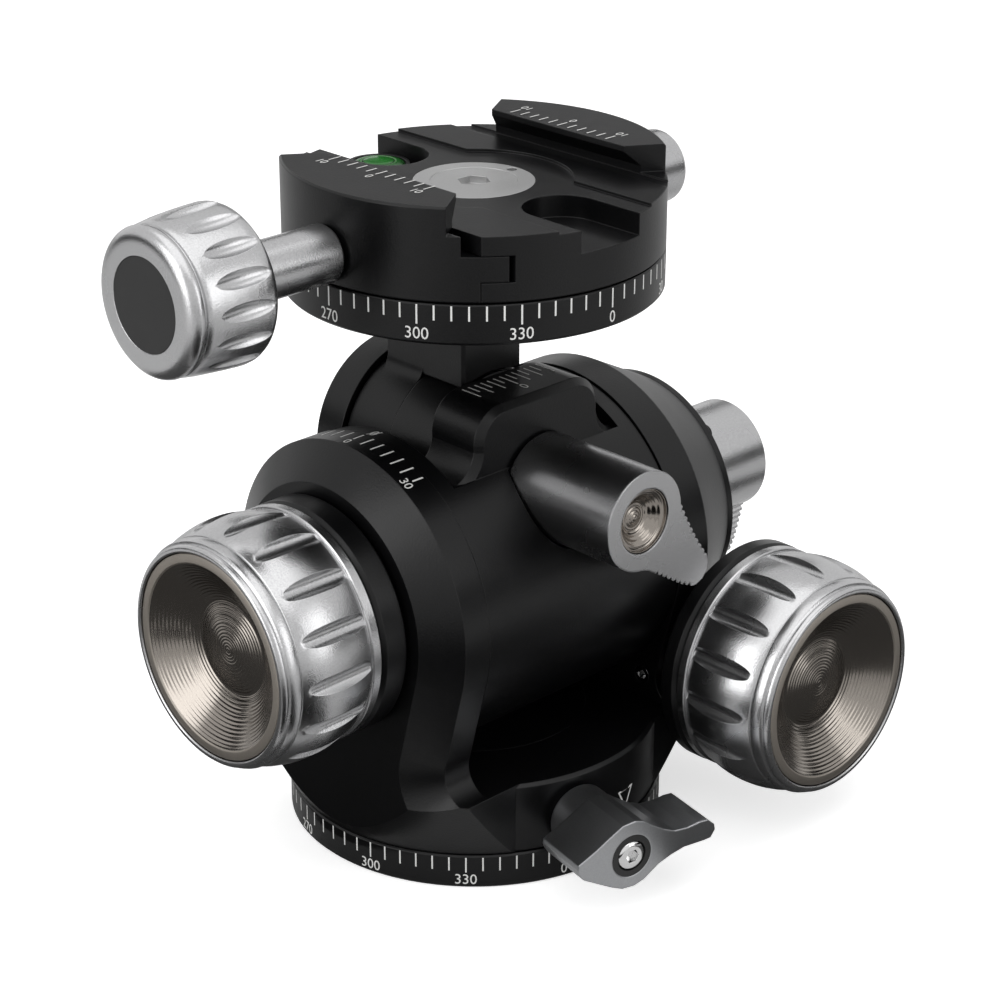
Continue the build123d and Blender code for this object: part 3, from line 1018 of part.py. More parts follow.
def lever(label, plane, root, face, radius, insert_r, bore_end, mirrored, aim):
    """Tubular lever along the plane's normal with a hooked thumb horn at its face."""
    step = 1 if face > root else -1
    c = cos(radians(aim))
    s = sin(radians(aim))
    horn = [(mirrored * (x * c - z * s), x * s + z * c) for x, z in HORN]
    with BuildPart() as body:
        rod(plane, radius, root, face)
        with BuildSketch(plane.offset(face - step * HORN_T)):
            with BuildLine():
                Polyline(*horn, close=True)
            make_face()
        extrude(amount=step * HORN_T)
        rod(plane, insert_r + SEAT, face - step * 3.0, face, mode=Mode.SUBTRACT)
        rod(plane, BOLT_A_R + 0.1, root, bore_end, mode=Mode.SUBTRACT)
    save(body, label)
    return body


def lever_insert(label, plane, face, radius):
    """Spun dish set in the lever's face."""
    step = 1 if face > 0 else -1
    with BuildPart() as dish:
        rod(plane, radius, face - step * 3.0, face - step * 0.15)
        with BuildSketch(plane.offset(face - step * 1.6)) as bottom:
            Circle(radius * 0.55)
        with BuildSketch(plane.offset(face)) as mouth:
            Circle(radius * 0.86)
        loft([bottom.sketch, mouth.sketch], mode=Mode.SUBTRACT)
    save(dish, label)
    return dish


front_lever = lever(
    "front_lever", B_PLANE, FRONT_LEVER_ROOT, FRONT_LEVER_FACE, FRONT_LEVER_R, LEVER_INSERT_R,
    PIN_START - 1, -1, 0,
)
front_lever_insert = lever_insert("front_lever_insert", B_PLANE, FRONT_LEVER_FACE, LEVER_INSERT_R)
rear_lever = lever(
    "rear_lever", A_PLANE, REAR_LEVER_ROOT, REAR_LEVER_FACE, REAR_LEVER_R, REAR_INSERT_R,
    BOLT_A_END + 1, 1, REAR_HORN_TURN,
)
rear_lever_insert = lever_insert("rear_lever_insert", A_PLANE, REAR_LEVER_FACE, REAR_INSERT_R)


# ---------------------------------------------------------------- tilt knobs
def knob_shell(label, face, shaft_r, shaft_in):
    """Fluted knob; the plane stands at its front face and points to its back."""
    along = Axis(face.origin, face.x_dir)
    flange_s = KNOB_LENGTH - KNOB_FLANGE_W
    flute_r = KNOB_BARREL_R + KNOB_FLUTE_R - KNOB_FLUTE_SINK
    flute_end = flange_s - 0.2
    aim = face.x_dir * flute_end - Vector(0, 0, KNOB_FLUTE_FALL)
    seat = Plane(origin=face.origin + Vector(0, 0, flute_r + KNOB_FLUTE_FALL / 2), z_dir=aim)
    with BuildPart(mode=Mode.PRIVATE) as flute:
        rod(seat, KNOB_FLUTE_R, 2.9, flute_end)
    with BuildPart() as shell:
        with BuildSketch(face) as half:
            with BuildLine():
                Polyline(
                    (0, 0), (0, KNOB_BEAD_R - 0.5), (0.3, KNOB_BEAD_R), (0.85, KNOB_BEAD_R),
                    (0.98, KNOB_BEAD_R - 0.15), (1.2, KNOB_BAND_R - 0.2), (2.9, KNOB_BAND_R),
                    (3.1, KNOB_BAND_R - 0.2), (3.3, KNOB_BAND_R + 0.1),
                )
                ThreePointArc(
                    (3.3, KNOB_BAND_R + 0.1), (flange_s * 0.6, KNOB_BARREL_R), (flange_s, KNOB_BARREL_END_R)
                )
                Polyline(
                    (flange_s, KNOB_BARREL_END_R), (flange_s, KNOB_FLANGE_R - 0.2),
                    (flange_s + 0.2, KNOB_FLANGE_R), (KNOB_LENGTH - 0.2, KNOB_FLANGE_R),
                    (KNOB_LENGTH, KNOB_FLANGE_R - 0.2), (KNOB_LENGTH, 0),
                )
                Line((KNOB_LENGTH, 0), (0, 0))
            make_face()
        revolve(half.sketch, axis=along)
        for index in range(KNOB_FLUTES):
            add(flute.part.rotate(along, index * 360 / KNOB_FLUTES), mode=Mode.SUBTRACT)
        pocket_r = KNOB_INSERT_R + SEAT
        turn(face, ((-1, 0), (-1, pocket_r), (KNOB_INSERT_DEPTH, pocket_r), (KNOB_INSERT_DEPTH, 0)),
             mode=Mode.SUBTRACT)
        bore_r = shaft_r + SEAT
        turn(face, ((shaft_in - 0.3, 0), (shaft_in - 0.3, bore_r), (KNOB_LENGTH, bore_r), (KNOB_LENGTH, 0)),
             mode=Mode.SUBTRACT)
    save(shell, label)
    return shell


def knob_insert(label, face):
    """Spun dish set in the knob's front: flat rim, bowl and low centre dome."""
    with BuildPart() as dish:
        turn(face, (
            (KNOB_INSERT_DEPTH, 0), (KNOB_INSERT_DEPTH, KNOB_INSERT_R), (KNOB_INSERT_SET, KNOB_INSERT_R),
            (KNOB_INSERT_SET, 14.5), (0.7, 13.9), (1.9, 12.2), (3.2, 10.4), (4.2, 8.7), (4.75, 7.3),
            (4.6, 6.6), (4.2, 4.6), (3.9, 2.4), (3.8, 0),
        ))
    save(dish, label)
    return dish


LEFT_FACE = Plane(origin=(LEFT_KNOB_FACE, 0, A_Z), x_dir=(1, 0, 0), z_dir=(0, -1, 0))
RIGHT_FACE = Plane(origin=(WORM_A_X, RIGHT_KNOB_FACE, WORM_A_Z), x_dir=(0, 1, 0), z_dir=(1, 0, 0))
left_knob = knob_shell("left_knob", LEFT_FACE, WORM_B_SHAFT_R, KNOB_INSERT_DEPTH + 1)
right_knob = knob_shell("right_knob", RIGHT_FACE, WORM_A_SHAFT_R, KNOB_INSERT_DEPTH + 1)
left_knob_insert = knob_insert("left_knob_insert", LEFT_FACE)
right_knob_insert = knob_insert("right_knob_insert", RIGHT_FACE)


def worm(label, plane, turned, shaft_r, tip_r, start, end):
    """Shaft with a ringed worm thread about the middle."""
    with BuildPart() as shaft:
        rod(plane, shaft_r, start, end)
        rod(plane, tip_r, -WORM_HALF, WORM_HALF)
        steps = int(2 * WORM_HALF / WORM_PITCH)
        for index in range(steps):
            mid = (index - (steps - 1) / 2) * WORM_PITCH
            turn(turned, (
                (mid - 0.25, tip_r - 0.9), (mid + 0.25, tip_r - 0.9), (mid + 0.6, tip_r + 0.1),
                (mid - 0.6, tip_r + 0.1),
            ), mode=Mode.SUBTRACT)
    save(shaft, label)
    return shaft


WORM_START = KNOB_INSERT_DEPTH + 1
worm_a = worm(
    "worm_a", WORM_PLANE, WORM_TURN, WORM_A_SHAFT_R, WORM_A_TIP_R, RIGHT_KNOB_FACE + WORM_START,
    WORM_BORE_BACK - 1.0,
)
worm_b = worm(
    "worm_b", A_PLANE, A_TURN, WORM_B_SHAFT_R, WORM_B_TIP_R, LEFT_KNOB_FACE + WORM_START,
    WORM_B_BORE_END - 1.0,
)
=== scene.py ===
import json
import math

import bmesh
import bpy
import numpy as np
from mathutils import Matrix


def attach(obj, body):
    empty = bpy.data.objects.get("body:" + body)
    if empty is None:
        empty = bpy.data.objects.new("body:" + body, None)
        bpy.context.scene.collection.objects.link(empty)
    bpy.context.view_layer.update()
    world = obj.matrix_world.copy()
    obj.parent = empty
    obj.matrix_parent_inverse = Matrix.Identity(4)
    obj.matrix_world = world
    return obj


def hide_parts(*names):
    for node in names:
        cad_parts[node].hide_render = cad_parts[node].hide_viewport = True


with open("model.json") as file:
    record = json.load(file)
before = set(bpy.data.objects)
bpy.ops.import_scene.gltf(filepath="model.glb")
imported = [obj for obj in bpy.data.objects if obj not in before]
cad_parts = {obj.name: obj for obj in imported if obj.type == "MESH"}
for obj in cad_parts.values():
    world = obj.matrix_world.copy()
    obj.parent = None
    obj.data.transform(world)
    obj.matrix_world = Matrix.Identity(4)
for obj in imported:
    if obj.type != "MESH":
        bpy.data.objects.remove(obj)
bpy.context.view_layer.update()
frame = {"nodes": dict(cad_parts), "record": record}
nodes = frame["nodes"]

MM = 0.001

# places of the CAD's faces, in millimetres
TILT_Z = 43.5         # height of the fore-and-aft tilt axis
BASE_RING_R = 30.2    # lower degree ring
TOP_RING_R = 29.0     # upper degree ring
DRUM_R = 29.7         # foot of the yoke, above the lower ring
RIM_R = 25.8          # rim of the yoke's left cheek, which holds the tilt scale
CHEEK_R = 25.5        # rim of the tilting barrel beside it
BLOCK_Z = 74.7        # top of the block on the barrel
JAW_Z = 109.4         # tops of the two jaws

SHARP = math.radians(32)    # a shell's edges bent by more than this stay sharp
FLUTES = 16                 # on each of the three knobs


# ------------------------------------------------------------------ materials
def linear(code):
    """sRGB hex colour turned to linear, with alpha 1."""
    values = [int(code[i:i + 2], 16) / 255 for i in (1, 3, 5)]
    return [v / 12.92 if v <= 0.04045 else ((v + 0.055) / 1.055) ** 2.4 for v in values] + [1.0]


def put(tree, kind, settings=None, links=None):
    """Adds a node: settings by socket or property name, links by input socket from (node, output)."""
    made = tree.nodes.new(kind)
    for key, value in (settings or {}).items():
        if isinstance(key, str) and hasattr(made, key) and key not in made.inputs:
            setattr(made, key, value)
        else:
            made.inputs[key].default_value = value
    for key, (source, output) in (links or {}).items():
        tree.links.new(source.outputs[output], made.inputs[key])
    return made


def material(name, **sockets):
    """A named Principled material; returns it with its tree, its shader and its texture coordinates."""
    made = bpy.data.materials.new(name)
    made.use_nodes = True
    tree = made.node_tree
    shader = tree.nodes["Principled BSDF"]
    for key, value in sockets.items():
        shader.inputs[key.replace("_", " ")].default_value = value
    place = put(tree, "ShaderNodeTexCoord")
    return made, tree, shader, place


def tint(tree, share, low, high):
    """Colour that goes from low to high as share goes from 0 to 1; returns the node and its output."""
    mix = put(tree, "ShaderNodeMix", {"data_type": "RGBA"}, {"Factor": share})
    mix.inputs[6].default_value = linear(low)
    mix.inputs[7].default_value = linear(high)
    return mix, 2


# A blast leaves pits of about 0.05 to 0.1 mm, too fine to show from the camera. They are drawn 0.26 to
# 0.30 mm wide, as coarse as they need to be to show.
BLAST_MM = 0.26
BLACK_BLAST_MM = 0.30
TOOL_MM = 0.2           # faint unevenness of turned and moulded surfaces
SMEAR_MM = 11.0         # breadth of the slow changes of gloss
GLOSS_SPREAD = 0.03     # how far the roughness goes either way


def noise(tree, place, size_mm, detail):
    """Noise in object space whose features are size_mm across."""
    return put(tree, "ShaderNodeTexNoise", {"Scale": 1 / (size_mm * MM), "Detail": detail},
               {"Vector": (place, "Object")})


def finish_surface(tree, shader, place, grain_mm, height, rough, edge_mm):
    """Grain of grain_mm as bump, broad smears that shift the roughness, and edges broken by edge_mm;
    returns the grain."""
    pits = noise(tree, place, grain_mm, 2.0)
    smear = noise(tree, place, SMEAR_MM, 3.0)
    gloss = put(tree, "ShaderNodeMapRange", {
        "From Min": 0.3, "From Max": 0.7, "To Min": rough - GLOSS_SPREAD, "To Max": rough + GLOSS_SPREAD,
    }, {"Value": (smear, "Fac")})
    tree.links.new(gloss.outputs["Result"], shader.inputs["Roughness"])
    edge = put(tree, "ShaderNodeBevel", {"samples": 6, "Radius": edge_mm * MM})
    bump = put(tree, "ShaderNodeBump", {"Strength": 1.0, "Distance": height * MM},
               {"Height": (pits, "Fac"), "Normal": (edge, "Normal")})
    tree.links.new(bump.outputs["Normal"], shader.inputs["Normal"])
    return pits


def grained(name, low, high, metallic, rough, grain_mm, height, edge_mm, **sockets):
    """A surface with fine pits, slow changes of gloss, and a shade that goes from low to high with the
    pits. Lengths in millimetres."""
    made, tree, shader, place = material(name, Metallic=metallic, **sockets)
    pits = finish_surface(tree, shader, place, grain_mm, height, rough, edge_mm)
    shade, output = tint(tree, (pits, "Fac"), low, high)
    tree.links.new(shade.outputs[output], shader.inputs["Base Color"])
    return made


def faced(name, low, high, cut, axis, metallic, rough, edge_mm):
    """Aluminium anodised dark, whose faces square to one axis were cut or blasted bare afterwards: the
    shade changes where the face's own normal comes to between 31 and 22 degrees from the axis."""
    made, tree, shader, place = material(name, Metallic=metallic)
    pits = finish_surface(tree, shader, place, BLAST_MM, 0.012, rough, edge_mm)
    body, output = tint(tree, (pits, "Fac"), low, high)
    facing = put(tree, "ShaderNodeVectorMath", {"operation": "DOT_PRODUCT", 1: axis},
                 {0: (place, "Normal")})
    share = put(tree, "ShaderNodeMapRange", {"From Min": 0.86, "From Max": 0.93},
                {"Value": (facing, "Value")})
    bare = put(tree, "ShaderNodeMix", {"data_type": "RGBA"},
               {"Factor": (share, "Result"), 6: (body, output)})
    bare.inputs[7].default_value = linear(cut)
    tree.links.new(bare.outputs[2], shader.inputs["Base Color"])
    return made


# aluminium, bead-blasted and black anodised: nearly black, a soft sheen and thin bright broken edges
black = grained("black_anodised_aluminium", "#040405", "#080809", 0.0, 0.33, BLACK_BLAST_MM, 0.018, 0.24,
                Specular_IOR_Level=0.27)
# aluminium, bead-blasted and clear anodised: satin silver, sandy where the reflection changes
silver = grained("silver_anodised_aluminium", "#a3a3a4", "#bdbdbe", 1.0, 0.27, BLAST_MM, 0.02, 0.14)
# the same, faced in a lathe before the clear anodise: paler and flatter
faced_silver = grained("faced_silver_aluminium", "#b4b4b4", "#c0c0c0", 1.0, 0.42, BLAST_MM, 0.004, 0.14)
# aluminium, blasted and grey anodised
grey = grained("grey_anodised_aluminium", "#97989a", "#a9aaac", 1.0, 0.32, BLAST_MM, 0.012, 0.35)
# aluminium anodised dark grey, its end face turned and blasted bare: dark barrel, pale face
lever_grey = faced("two_tone_anodised_aluminium", "#7e7e7f", "#8c8c8d", "#a8a8a9", (0, -1, 0), 1.0, 0.27,
                   0.35)
# steel, ground and lightly polished
steel = grained("ground_steel", "#9c9c9e", "#acacae", 1.0, 0.24, TOOL_MM, 0.001, 0.10)
# brass, turned and left bare
brass = grained("turned_brass", "#a5854f", "#b5935a", 1.0, 0.28, TOOL_MM, 0.001, 0.10)
# steel screws, black oxide
oxide = grained("black_oxide_steel", "#0e0e0e", "#181818", 0.5, 0.32, TOOL_MM, 0.001, 0.08)
# steel screws, nickel plated and bright
nickel = grained("nickel_plated_steel", "#cfcfcf", "#dadada", 1.0, 0.12, TOOL_MM, 0.0005, 0.06)
# acetal, moulded or turned: black and matt
acetal = grained("black_acetal", "#0b0b0b", "#141414", 0.0, 0.55, TOOL_MM, 0.002, 0.08)
# aluminium, spun in a lathe after a bronze-grey anodise: warm grey with tight rings of light
bronze = grained("bronze_grey_spun_aluminium", "#86807a", "#938d86", 1.0, 0.19, TOOL_MM, 0.001, 0.08)
# the same aluminium where the blast was left on it: the flat rims round the spun bowls
rim_bronze = grained("bronze_grey_blasted_aluminium", "#8f8982", "#9b958d", 1.0, 0.55, BLAST_MM, 0.01,
                     0.08)
# enamel filled into engraved marks: white, slightly chalky
enamel = grained("white_engraving_enamel", "#dcdcda", "#e8e8e6", 0.0, 0.55, 0.12, 0.002, 0.03)


VIAL_Y = 21.5         # the level stands behind the turning axis, on the clamp
VIAL_R = 4.3          # the painted glow, the scribed ring, the painted reflection and the painted shade are spread over this radius


def acrylic_green(name):
    """Green acrylic over tinted spirit, drawn opaque, with painted light: a painted glow brightens it to
    the middle and painted shade darkens it to the edge, a dark ring is scribed round it, and the pale
    ring just outside that is a painted reflection."""
    made, tree, shader, place = material(name, Roughness=0.22, Specular_IOR_Level=0.22)
    centred = put(tree, "ShaderNodeMapping", {"Location": (0, -VIAL_Y * MM, 0)},
                  {"Vector": (place, "Object")})
    flat = put(tree, "ShaderNodeVectorMath", {"operation": "MULTIPLY", 1: (1, 1, 0)},
               {0: (centred, "Vector")})
    reach = put(tree, "ShaderNodeVectorMath", {"operation": "LENGTH"}, {0: (flat, "Vector")})
    ramp = put(tree, "ShaderNodeValToRGB")
    share = put(tree, "ShaderNodeMath", {"operation": "DIVIDE", 1: VIAL_R * MM}, {0: (reach, "Value")})
    tree.links.new(share.outputs["Value"], ramp.inputs["Fac"])
    # the stops paint a glow in the middle and shade towards the edge; 0.58 is the scribed ring, 0.63 a
    # painted reflection
    stops = ramp.color_ramp.elements
    stops[0].position, stops[0].color = 0.0, linear("#24802a")
    stops[1].position, stops[1].color = 1.0, linear("#0a2c0d")
    for position, code in ((0.52, "#1f7424"), (0.58, "#0a2c0c"), (0.63, "#6fa06e"), (0.68, "#1a6420"),
                           (0.88, "#134c17")):
        stop = stops.new(position)
        stop.color = linear(code)
    haze = noise(tree, place, 1.3, 2.0)
    shade = put(tree, "ShaderNodeMix", {"data_type": "RGBA", "blend_type": "MULTIPLY", "Factor": 0.35},
                {6: (ramp, "Color"), 7: (haze, "Fac")})
    tree.links.new(shade.outputs[2], shader.inputs["Base Color"])
    return made


vial = acrylic_green("green_acrylic_painted_glow")

slots = {"black_anodised": black, "silver_anodised": silver, "grey_anodised": grey, "steel": steel,
         "bright_screw": nickel, "dark_screw": oxide, "brass": brass, "polymer": acetal,
         "bronze_grey": bronze, "vial_green": vial}
# nodes whose surface differs from the rest of their slot
own_finish = {"front_lever": lever_grey, "clamp_knob_disc": acetal, "grub_screw": nickel,
              "centre_ring": faced_silver, "centre_screw": faced_silver}
for part in frame["record"]["subparts"]:
    node = nodes[part["node"]]
    finish = own_finish.get(part["node"], slots[part["material_slot"]])
    node.data.materials.clear()
    node.data.materials.append(finish)


# ------------------------------------------------------------------ turned pieces
def skin(name, rows, poles, finish, body, replaced):
    """Closed shell: rows is a grid of points that wraps round in its second direction, one face to a
    cell, and each end row is closed by a fan to its pole. Points in millimetres."""
    count, columns = rows.shape[:2]
    index = np.arange(count * columns).reshape(count, columns)
    beside = np.roll(index, -1, axis=1)
    cells = np.stack([index[:-1], beside[:-1], beside[1:], index[1:]], -1).reshape(-1, 4)
    first, last = count * columns, count * columns + 1
    fans = [np.stack([np.full(columns, first), beside[0], index[0]], -1),
            np.stack([np.full(columns, last), index[-1], beside[-1]], -1)]
    points = np.concatenate([rows.reshape(-1, 3), poles]) * MM
    mesh = bpy.data.meshes.new(name)
    mesh.from_pydata(points.tolist(), [], cells.tolist() + fans[0].tolist() + fans[1].tolist())
    work = bmesh.new()
    work.from_mesh(mesh)
    bmesh.ops.recalc_face_normals(work, faces=work.faces)
    work.to_mesh(mesh)
    work.free()
    mesh.shade_smooth()
    mesh.set_sharp_from_angle(angle=SHARP)
    mesh.materials.append(finish)
    piece = bpy.data.objects.new(name, mesh)
    bpy.context.scene.collection.objects.link(piece)
    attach(piece, body)
    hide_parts(replaced)
    return piece


def about(seat, s, r, angle):
    """Points at distance s along the seat's axis, r from it, and angle round it from up."""
    origin, along, up, across = (np.array(v, float) for v in seat)
    s, r, angle = np.broadcast_arrays(s, r, angle)
    return (origin + s[..., None] * along + (r * np.cos(angle))[..., None] * up
            + (r * np.sin(angle))[..., None] * across)


def turned(name, seat, profile, columns, finish, body, replaced):
    """Lathe-turned shell: each (s, r) of the profile swept once round the seat's axis; it starts and
    ends on the axis."""
    profile = np.array(profile, float)
    angle = np.linspace(0, 2 * np.pi, columns, endpoint=False)[None, :]
    inner = profile[1:-1]
    rows = about(seat, inner[:, :1], inner[:, 1:], angle)
    poles = about(seat, profile[[0, -1], 0], np.zeros(2), np.zeros(2))
    return skin(name, rows, poles, finish, body, replaced)


LEAST_EDGE = 0.012    # in radians: keeps the columns apart where there is no flute


def fluted(name, seat, profile, gutter, flutes, finish, body, replaced, inner=6, outer=4):
    """Turned shell with flutes cut along it. gutter(s) gives the distance a of a flute's axis from the
    knob's axis and the flute's own radius c. At angle d from a flute's middle the cut leaves
    a cos d - sqrt(c^2 - a^2 sin^2 d); the columns are drawn to the flute's two edges, where that meets
    the profile, so the edges stay crisp. On each side of a flute's middle there are inner columns within
    the flute and outer ones from its edge to halfway to the next."""
    profile = np.array(profile, float)
    s, r, cut = profile[1:-1, 0], profile[1:-1, 1], profile[1:-1, 2] > 0
    a, c = gutter(s)
    c = np.where(cut, c, 0.0)
    reach = np.clip((r ** 2 + a ** 2 - c ** 2) / (2 * r * a), -1, 1)
    half = np.pi / flutes
    edge = np.where((a - c < r) & (c > 0), np.arccos(reach), 0.0)
    edge = np.clip(edge, LEAST_EDGE, 0.9 * half)
    inside = np.linspace(-1, 1, 2 * inner + 1)[None, :] * edge[:, None]
    step = np.linspace(0, 1, outer + 1)[None, 1:]
    right = edge[:, None] + step * (half - edge[:, None])
    left = -right[:, :-1][:, ::-1]
    delta = np.concatenate([left, inside, right], 1)
    root = np.sqrt(np.maximum(c[:, None] ** 2 - (a[:, None] * np.sin(delta)) ** 2, 0))
    hollow = a[:, None] * np.cos(delta) - root
    within = (np.abs(delta) <= edge[:, None] + 1e-9) & (c[:, None] > 0)
    radius = np.where(within, np.minimum(hollow, r[:, None]), r[:, None])
    turns = np.arange(flutes) * 2 * half
    angle = (turns[None, :, None] + delta[:, None, :]).reshape(len(s), -1)
    radius = np.repeat(radius[:, None, :], flutes, 1).reshape(len(s), -1)
    rows = about(seat, s[:, None], radius, angle)
    poles = about(seat, profile[[0, -1], 0], np.zeros(2), np.zeros(2))
    return skin(name, rows, poles, finish, body, replaced)


def fine(points, step):
    """The same outline with a point at least every step millimetres, each keeping its third number."""
    points = np.array(points, float)
    parts = []
    for start, end in zip(points[:-1], points[1:]):
        count = max(1, int(np.ceil(np.hypot(*(end - start)[:2]) / step)))
        share = np.linspace(0, 1, count, endpoint=False)[:, None]
        piece = start + share * (end - start)
        piece[:, 2] = start[2]
        parts.append(piece)
    return np.concatenate(parts + [points[-1:]])


def knob_outline(bore):
    """Half section of a tilt knob from the floor of its front pocket round the outside to its shaft
    bore; the third number is 1 where flutes are cut."""
    front = [(6.52, 0, 0), (6.52, 16.05, 0), (0.55, 16.05, 0), (0.12, 16.12, 0), (0, 16.3, 0),
             (0, 16.6, 0), (0.08, 16.85, 0), (0.3, 17.05, 0), (0.6, 17.15, 0), (0.85, 17.15, 0),
             (0.98, 17.02, 0), (1.1, 17.15, 0), (1.25, 17.5, 0), (1.6, 17.65, 0), (2.6, 17.75, 0),
             (2.9, 17.72, 0), (3.05, 17.55, 0), (3.2, 17.8, 1)]
    s = np.linspace(3.5, 15.8, 34)
    r = np.interp(s, (3.2, 4, 5, 7, 9, 11, 13, 15, 15.9),
                  (17.8, 18.2, 18.5, 18.95, 19.13, 19.1, 18.8, 18.35, 18.1))
    r = np.convolve(np.pad(r, 2, mode="reflect", reflect_type="odd"), np.ones(5) / 5, mode="valid")
    barrel = [(x, y, 1) for x, y in zip(s, r)]
    back = [(15.9, 18.1, 0), (15.98, 18.1, 0), (16.03, 18.3, 0), (16.2, 18.5, 0), (17.5, 18.5, 0),
            (17.68, 18.35, 0), (17.68, bore, 0), (7.3, bore, 0), (7.3, 0, 0)]
    return front + barrel + back


def knob_gutter(s):
    """Straight flutes of radius 1.6 whose axis falls towards the knob's back."""
    return 19.875 - 0.45 * s / 15.9, np.full_like(s, 1.6)


# lathe rings: (distance apart, height) of the tool's feed and of the finer chatter over it
FEED = (0.5, 0.021)
CHATTER = (0.19, 0.005)


def insert_outline():
    """Half section of a bowl-shaped insert: the bowl and dome carry lathe rings, a cosine wave along
    the radius with a fainter, closer one over it."""
    r = np.arange(14.4, 0.1, -0.055)
    bowl_r = (0, 2.4, 4.6, 6.6, 7.3, 8.7, 10.4, 12.2, 13.9, 14.2, 14.5)
    bowl_s = (3.8, 3.88, 4.15, 4.6, 4.78, 4.25, 3.2, 1.9, 0.7, 0.46, 0.3)
    s = np.interp(r, bowl_r, bowl_s)
    s = np.convolve(np.pad(s, 3, mode="edge"), np.ones(7) / 7, mode="valid")
    fade = np.clip((14.2 - r) / 0.3, 0, 1)
    s = s + fade * sum(height * np.cos(2 * np.pi * r / pitch) for pitch, height in (FEED, CHATTER))
    rings = [(x, y) for x, y in zip(s, r)]
    rim = [(0.26, 14.52), (0.2, 14.6), (0.2, 15.7), (0.3, 15.9), (6.48, 15.9), (6.48, 0)]
    return [(3.81, 0)] + rings[::-1] + rim


LEVER_FEED = (0.55, 0.03)


def lever_bowl_outline(radius, depth, rim):
    """Half section of a lever's round insert: a flat rim, then a steep cupped bowl with a low boss in
    its middle. The boss takes the inner 0.42 of the radius, and lathe rings cover both."""
    r = np.arange(radius - rim, 0.08, -0.05)
    share = r / (radius - rim)
    s = depth * (0.55 + 0.45 * np.cos(np.pi * np.clip((share - 0.42) / 0.58, 0, 1)) - 0.12 * np.cos(
        np.pi * np.clip(share / 0.42, 0, 1)))
    s = s + LEVER_FEED[1] * np.cos(2 * np.pi * r / LEVER_FEED[0])
    rings = [(x, y) for x, y in zip(s, r)]
    back = 2.8
    return [(float(s[-1]), 0)] + rings[::-1] + [
        (0.05, radius - rim + 0.1), (0.05, radius - 0.15), (0.2, radius - 0.02), (back, radius - 0.02),
        (back, 0)]


def blasted_rim(piece, seat, radius):
    """Gives the faces farther than radius from the seat's axis the blasted finish."""
    mesh = piece.data
    mesh.materials.append(rim_bronze)
    centre = np.zeros(len(mesh.polygons) * 3)
    mesh.polygons.foreach_get("center", centre)
    away = centre.reshape(-1, 3) / MM - np.array(seat[0], float)
    away -= (away @ np.array(seat[1], float))[:, None] * np.array(seat[1], float)
    mesh.polygons.foreach_set("material_index", (np.linalg.norm(away, axis=1) > radius).astype(int))


# seats: where a turned piece's own axis starts, its direction, and two directions square to it. The
# knobs and inserts start at their outer end and run inwards; the lens runs upwards
LEFT = ((-53.9, 0, TILT_Z), (1, 0, 0), (0, 0, 1), (0, 1, 0))
RIGHT = ((33.0, -48.3, 24.8), (0, 1, 0), (0, 0, 1), (1, 0, 0))
CLAMP = ((-61.9, 0, 100.0), (1, 0, 0), (0, 0, 1), (0, 1, 0))
VIAL = ((0, VIAL_Y, 101.7), (0, 0, 1), (0, 1, 0), (1, 0, 0))
FRONT_LEVER = ((0, -36.25, 60.4), (0, 1, 0), (0, 0, 1), (1, 0, 0))
REAR_LEVER = ((59.35, 0, TILT_Z), (-1, 0, 0), (0, 0, 1), (0, 1, 0))

RIM_START = 14.45     # the spun bowl's edge, where the blasted rim starts
for side, seat, shaft_bore in (("left", LEFT, 3.02), ("right", RIGHT, 2.52)):
    fluted(side + "_knob_shell", seat, knob_outline(shaft_bore), knob_gutter, FLUTES, silver,
           "knob_" + side, side + "_knob")
for side, seat in (("left", LEFT), ("right", RIGHT)):
    bowl = turned(side + "_knob_bowl", seat, insert_outline(), 128, bronze,
                  "knob_" + side, side + "_knob_insert")
    blasted_rim(bowl, seat, RIM_START)
turned("front_lever_bowl", FRONT_LEVER, lever_bowl_outline(5.1, 2.0, 0.35), 96, bronze,
       "lever_b", "front_lever_insert")
turned("rear_lever_bowl", REAR_LEVER, lever_bowl_outline(6.4, 2.2, 0.45), 96, bronze,
       "lever_a", "rear_lever_insert")

# half section of the clamp's knob and its shank: front pocket, rolled lip, barrel, shank, bore
CLAMP_OUTLINE = fine([
    (0.82, 0, 0), (0.82, 6.88, 0), (0.06, 6.88, 0), (0, 6.94, 0), (0, 8.9, 0), (0.1, 9.5, 0),
    (0.35, 10.1, 0), (0.7, 10.52, 0), (1.1, 10.78, 0), (1.5, 10.9, 0), (1.9, 10.88, 0), (2.15, 10.75, 0),
    (2.35, 10.45, 0), (2.5, 10.5, 0), (2.65, 10.8, 0), (3.1, 11.0, 1), (5, 11.28, 1), (7, 11.5, 1),
    (9, 11.66, 1), (11, 11.76, 1), (12.5, 11.78, 1), (13.4, 11.68, 1), (14.1, 11.35, 0),
    (14.5, 10.95, 0), (14.68, 10.5, 0), (14.68, 4.4, 0), (32.1, 4.4, 0),
    (32.5, 4.1, 0), (32.5, 2.52, 0), (4.95, 2.52, 0), (4.95, 0, 0)], 0.5)


def clamp_gutter(s):
    """Leaf-shaped flutes: the flute's radius follows an arc from nothing at both ends to 1.5 midway."""
    share = np.clip((s - 2.4) / 11.9, 0, 1)
    return np.full_like(s, 12.3), 1.5 * np.sqrt(np.maximum(np.sin(np.pi * share), 0))


fluted("clamp_knob_shell", CLAMP, CLAMP_OUTLINE, clamp_gutter, FLUTES, silver,
       "clamp_knob", "clamp_knob")

# half section of the level's lens: a shallow dome with a groove scribed round it
VIAL_OUTLINE = [(1.5, 0), (1.495, 0.8), (1.47, 1.6), (1.44, 2.3), (1.36, 2.45), (1.36, 2.6),
                (1.4, 2.75), (1.33, 3.2), (1.18, 3.7), (0.95, 4.1), (0.7, 4.28), (0.0, 4.28), (0, 0)]
turned("level_lens", VIAL, VIAL_OUTLINE, 96, vial, "clamp", "level_vial")


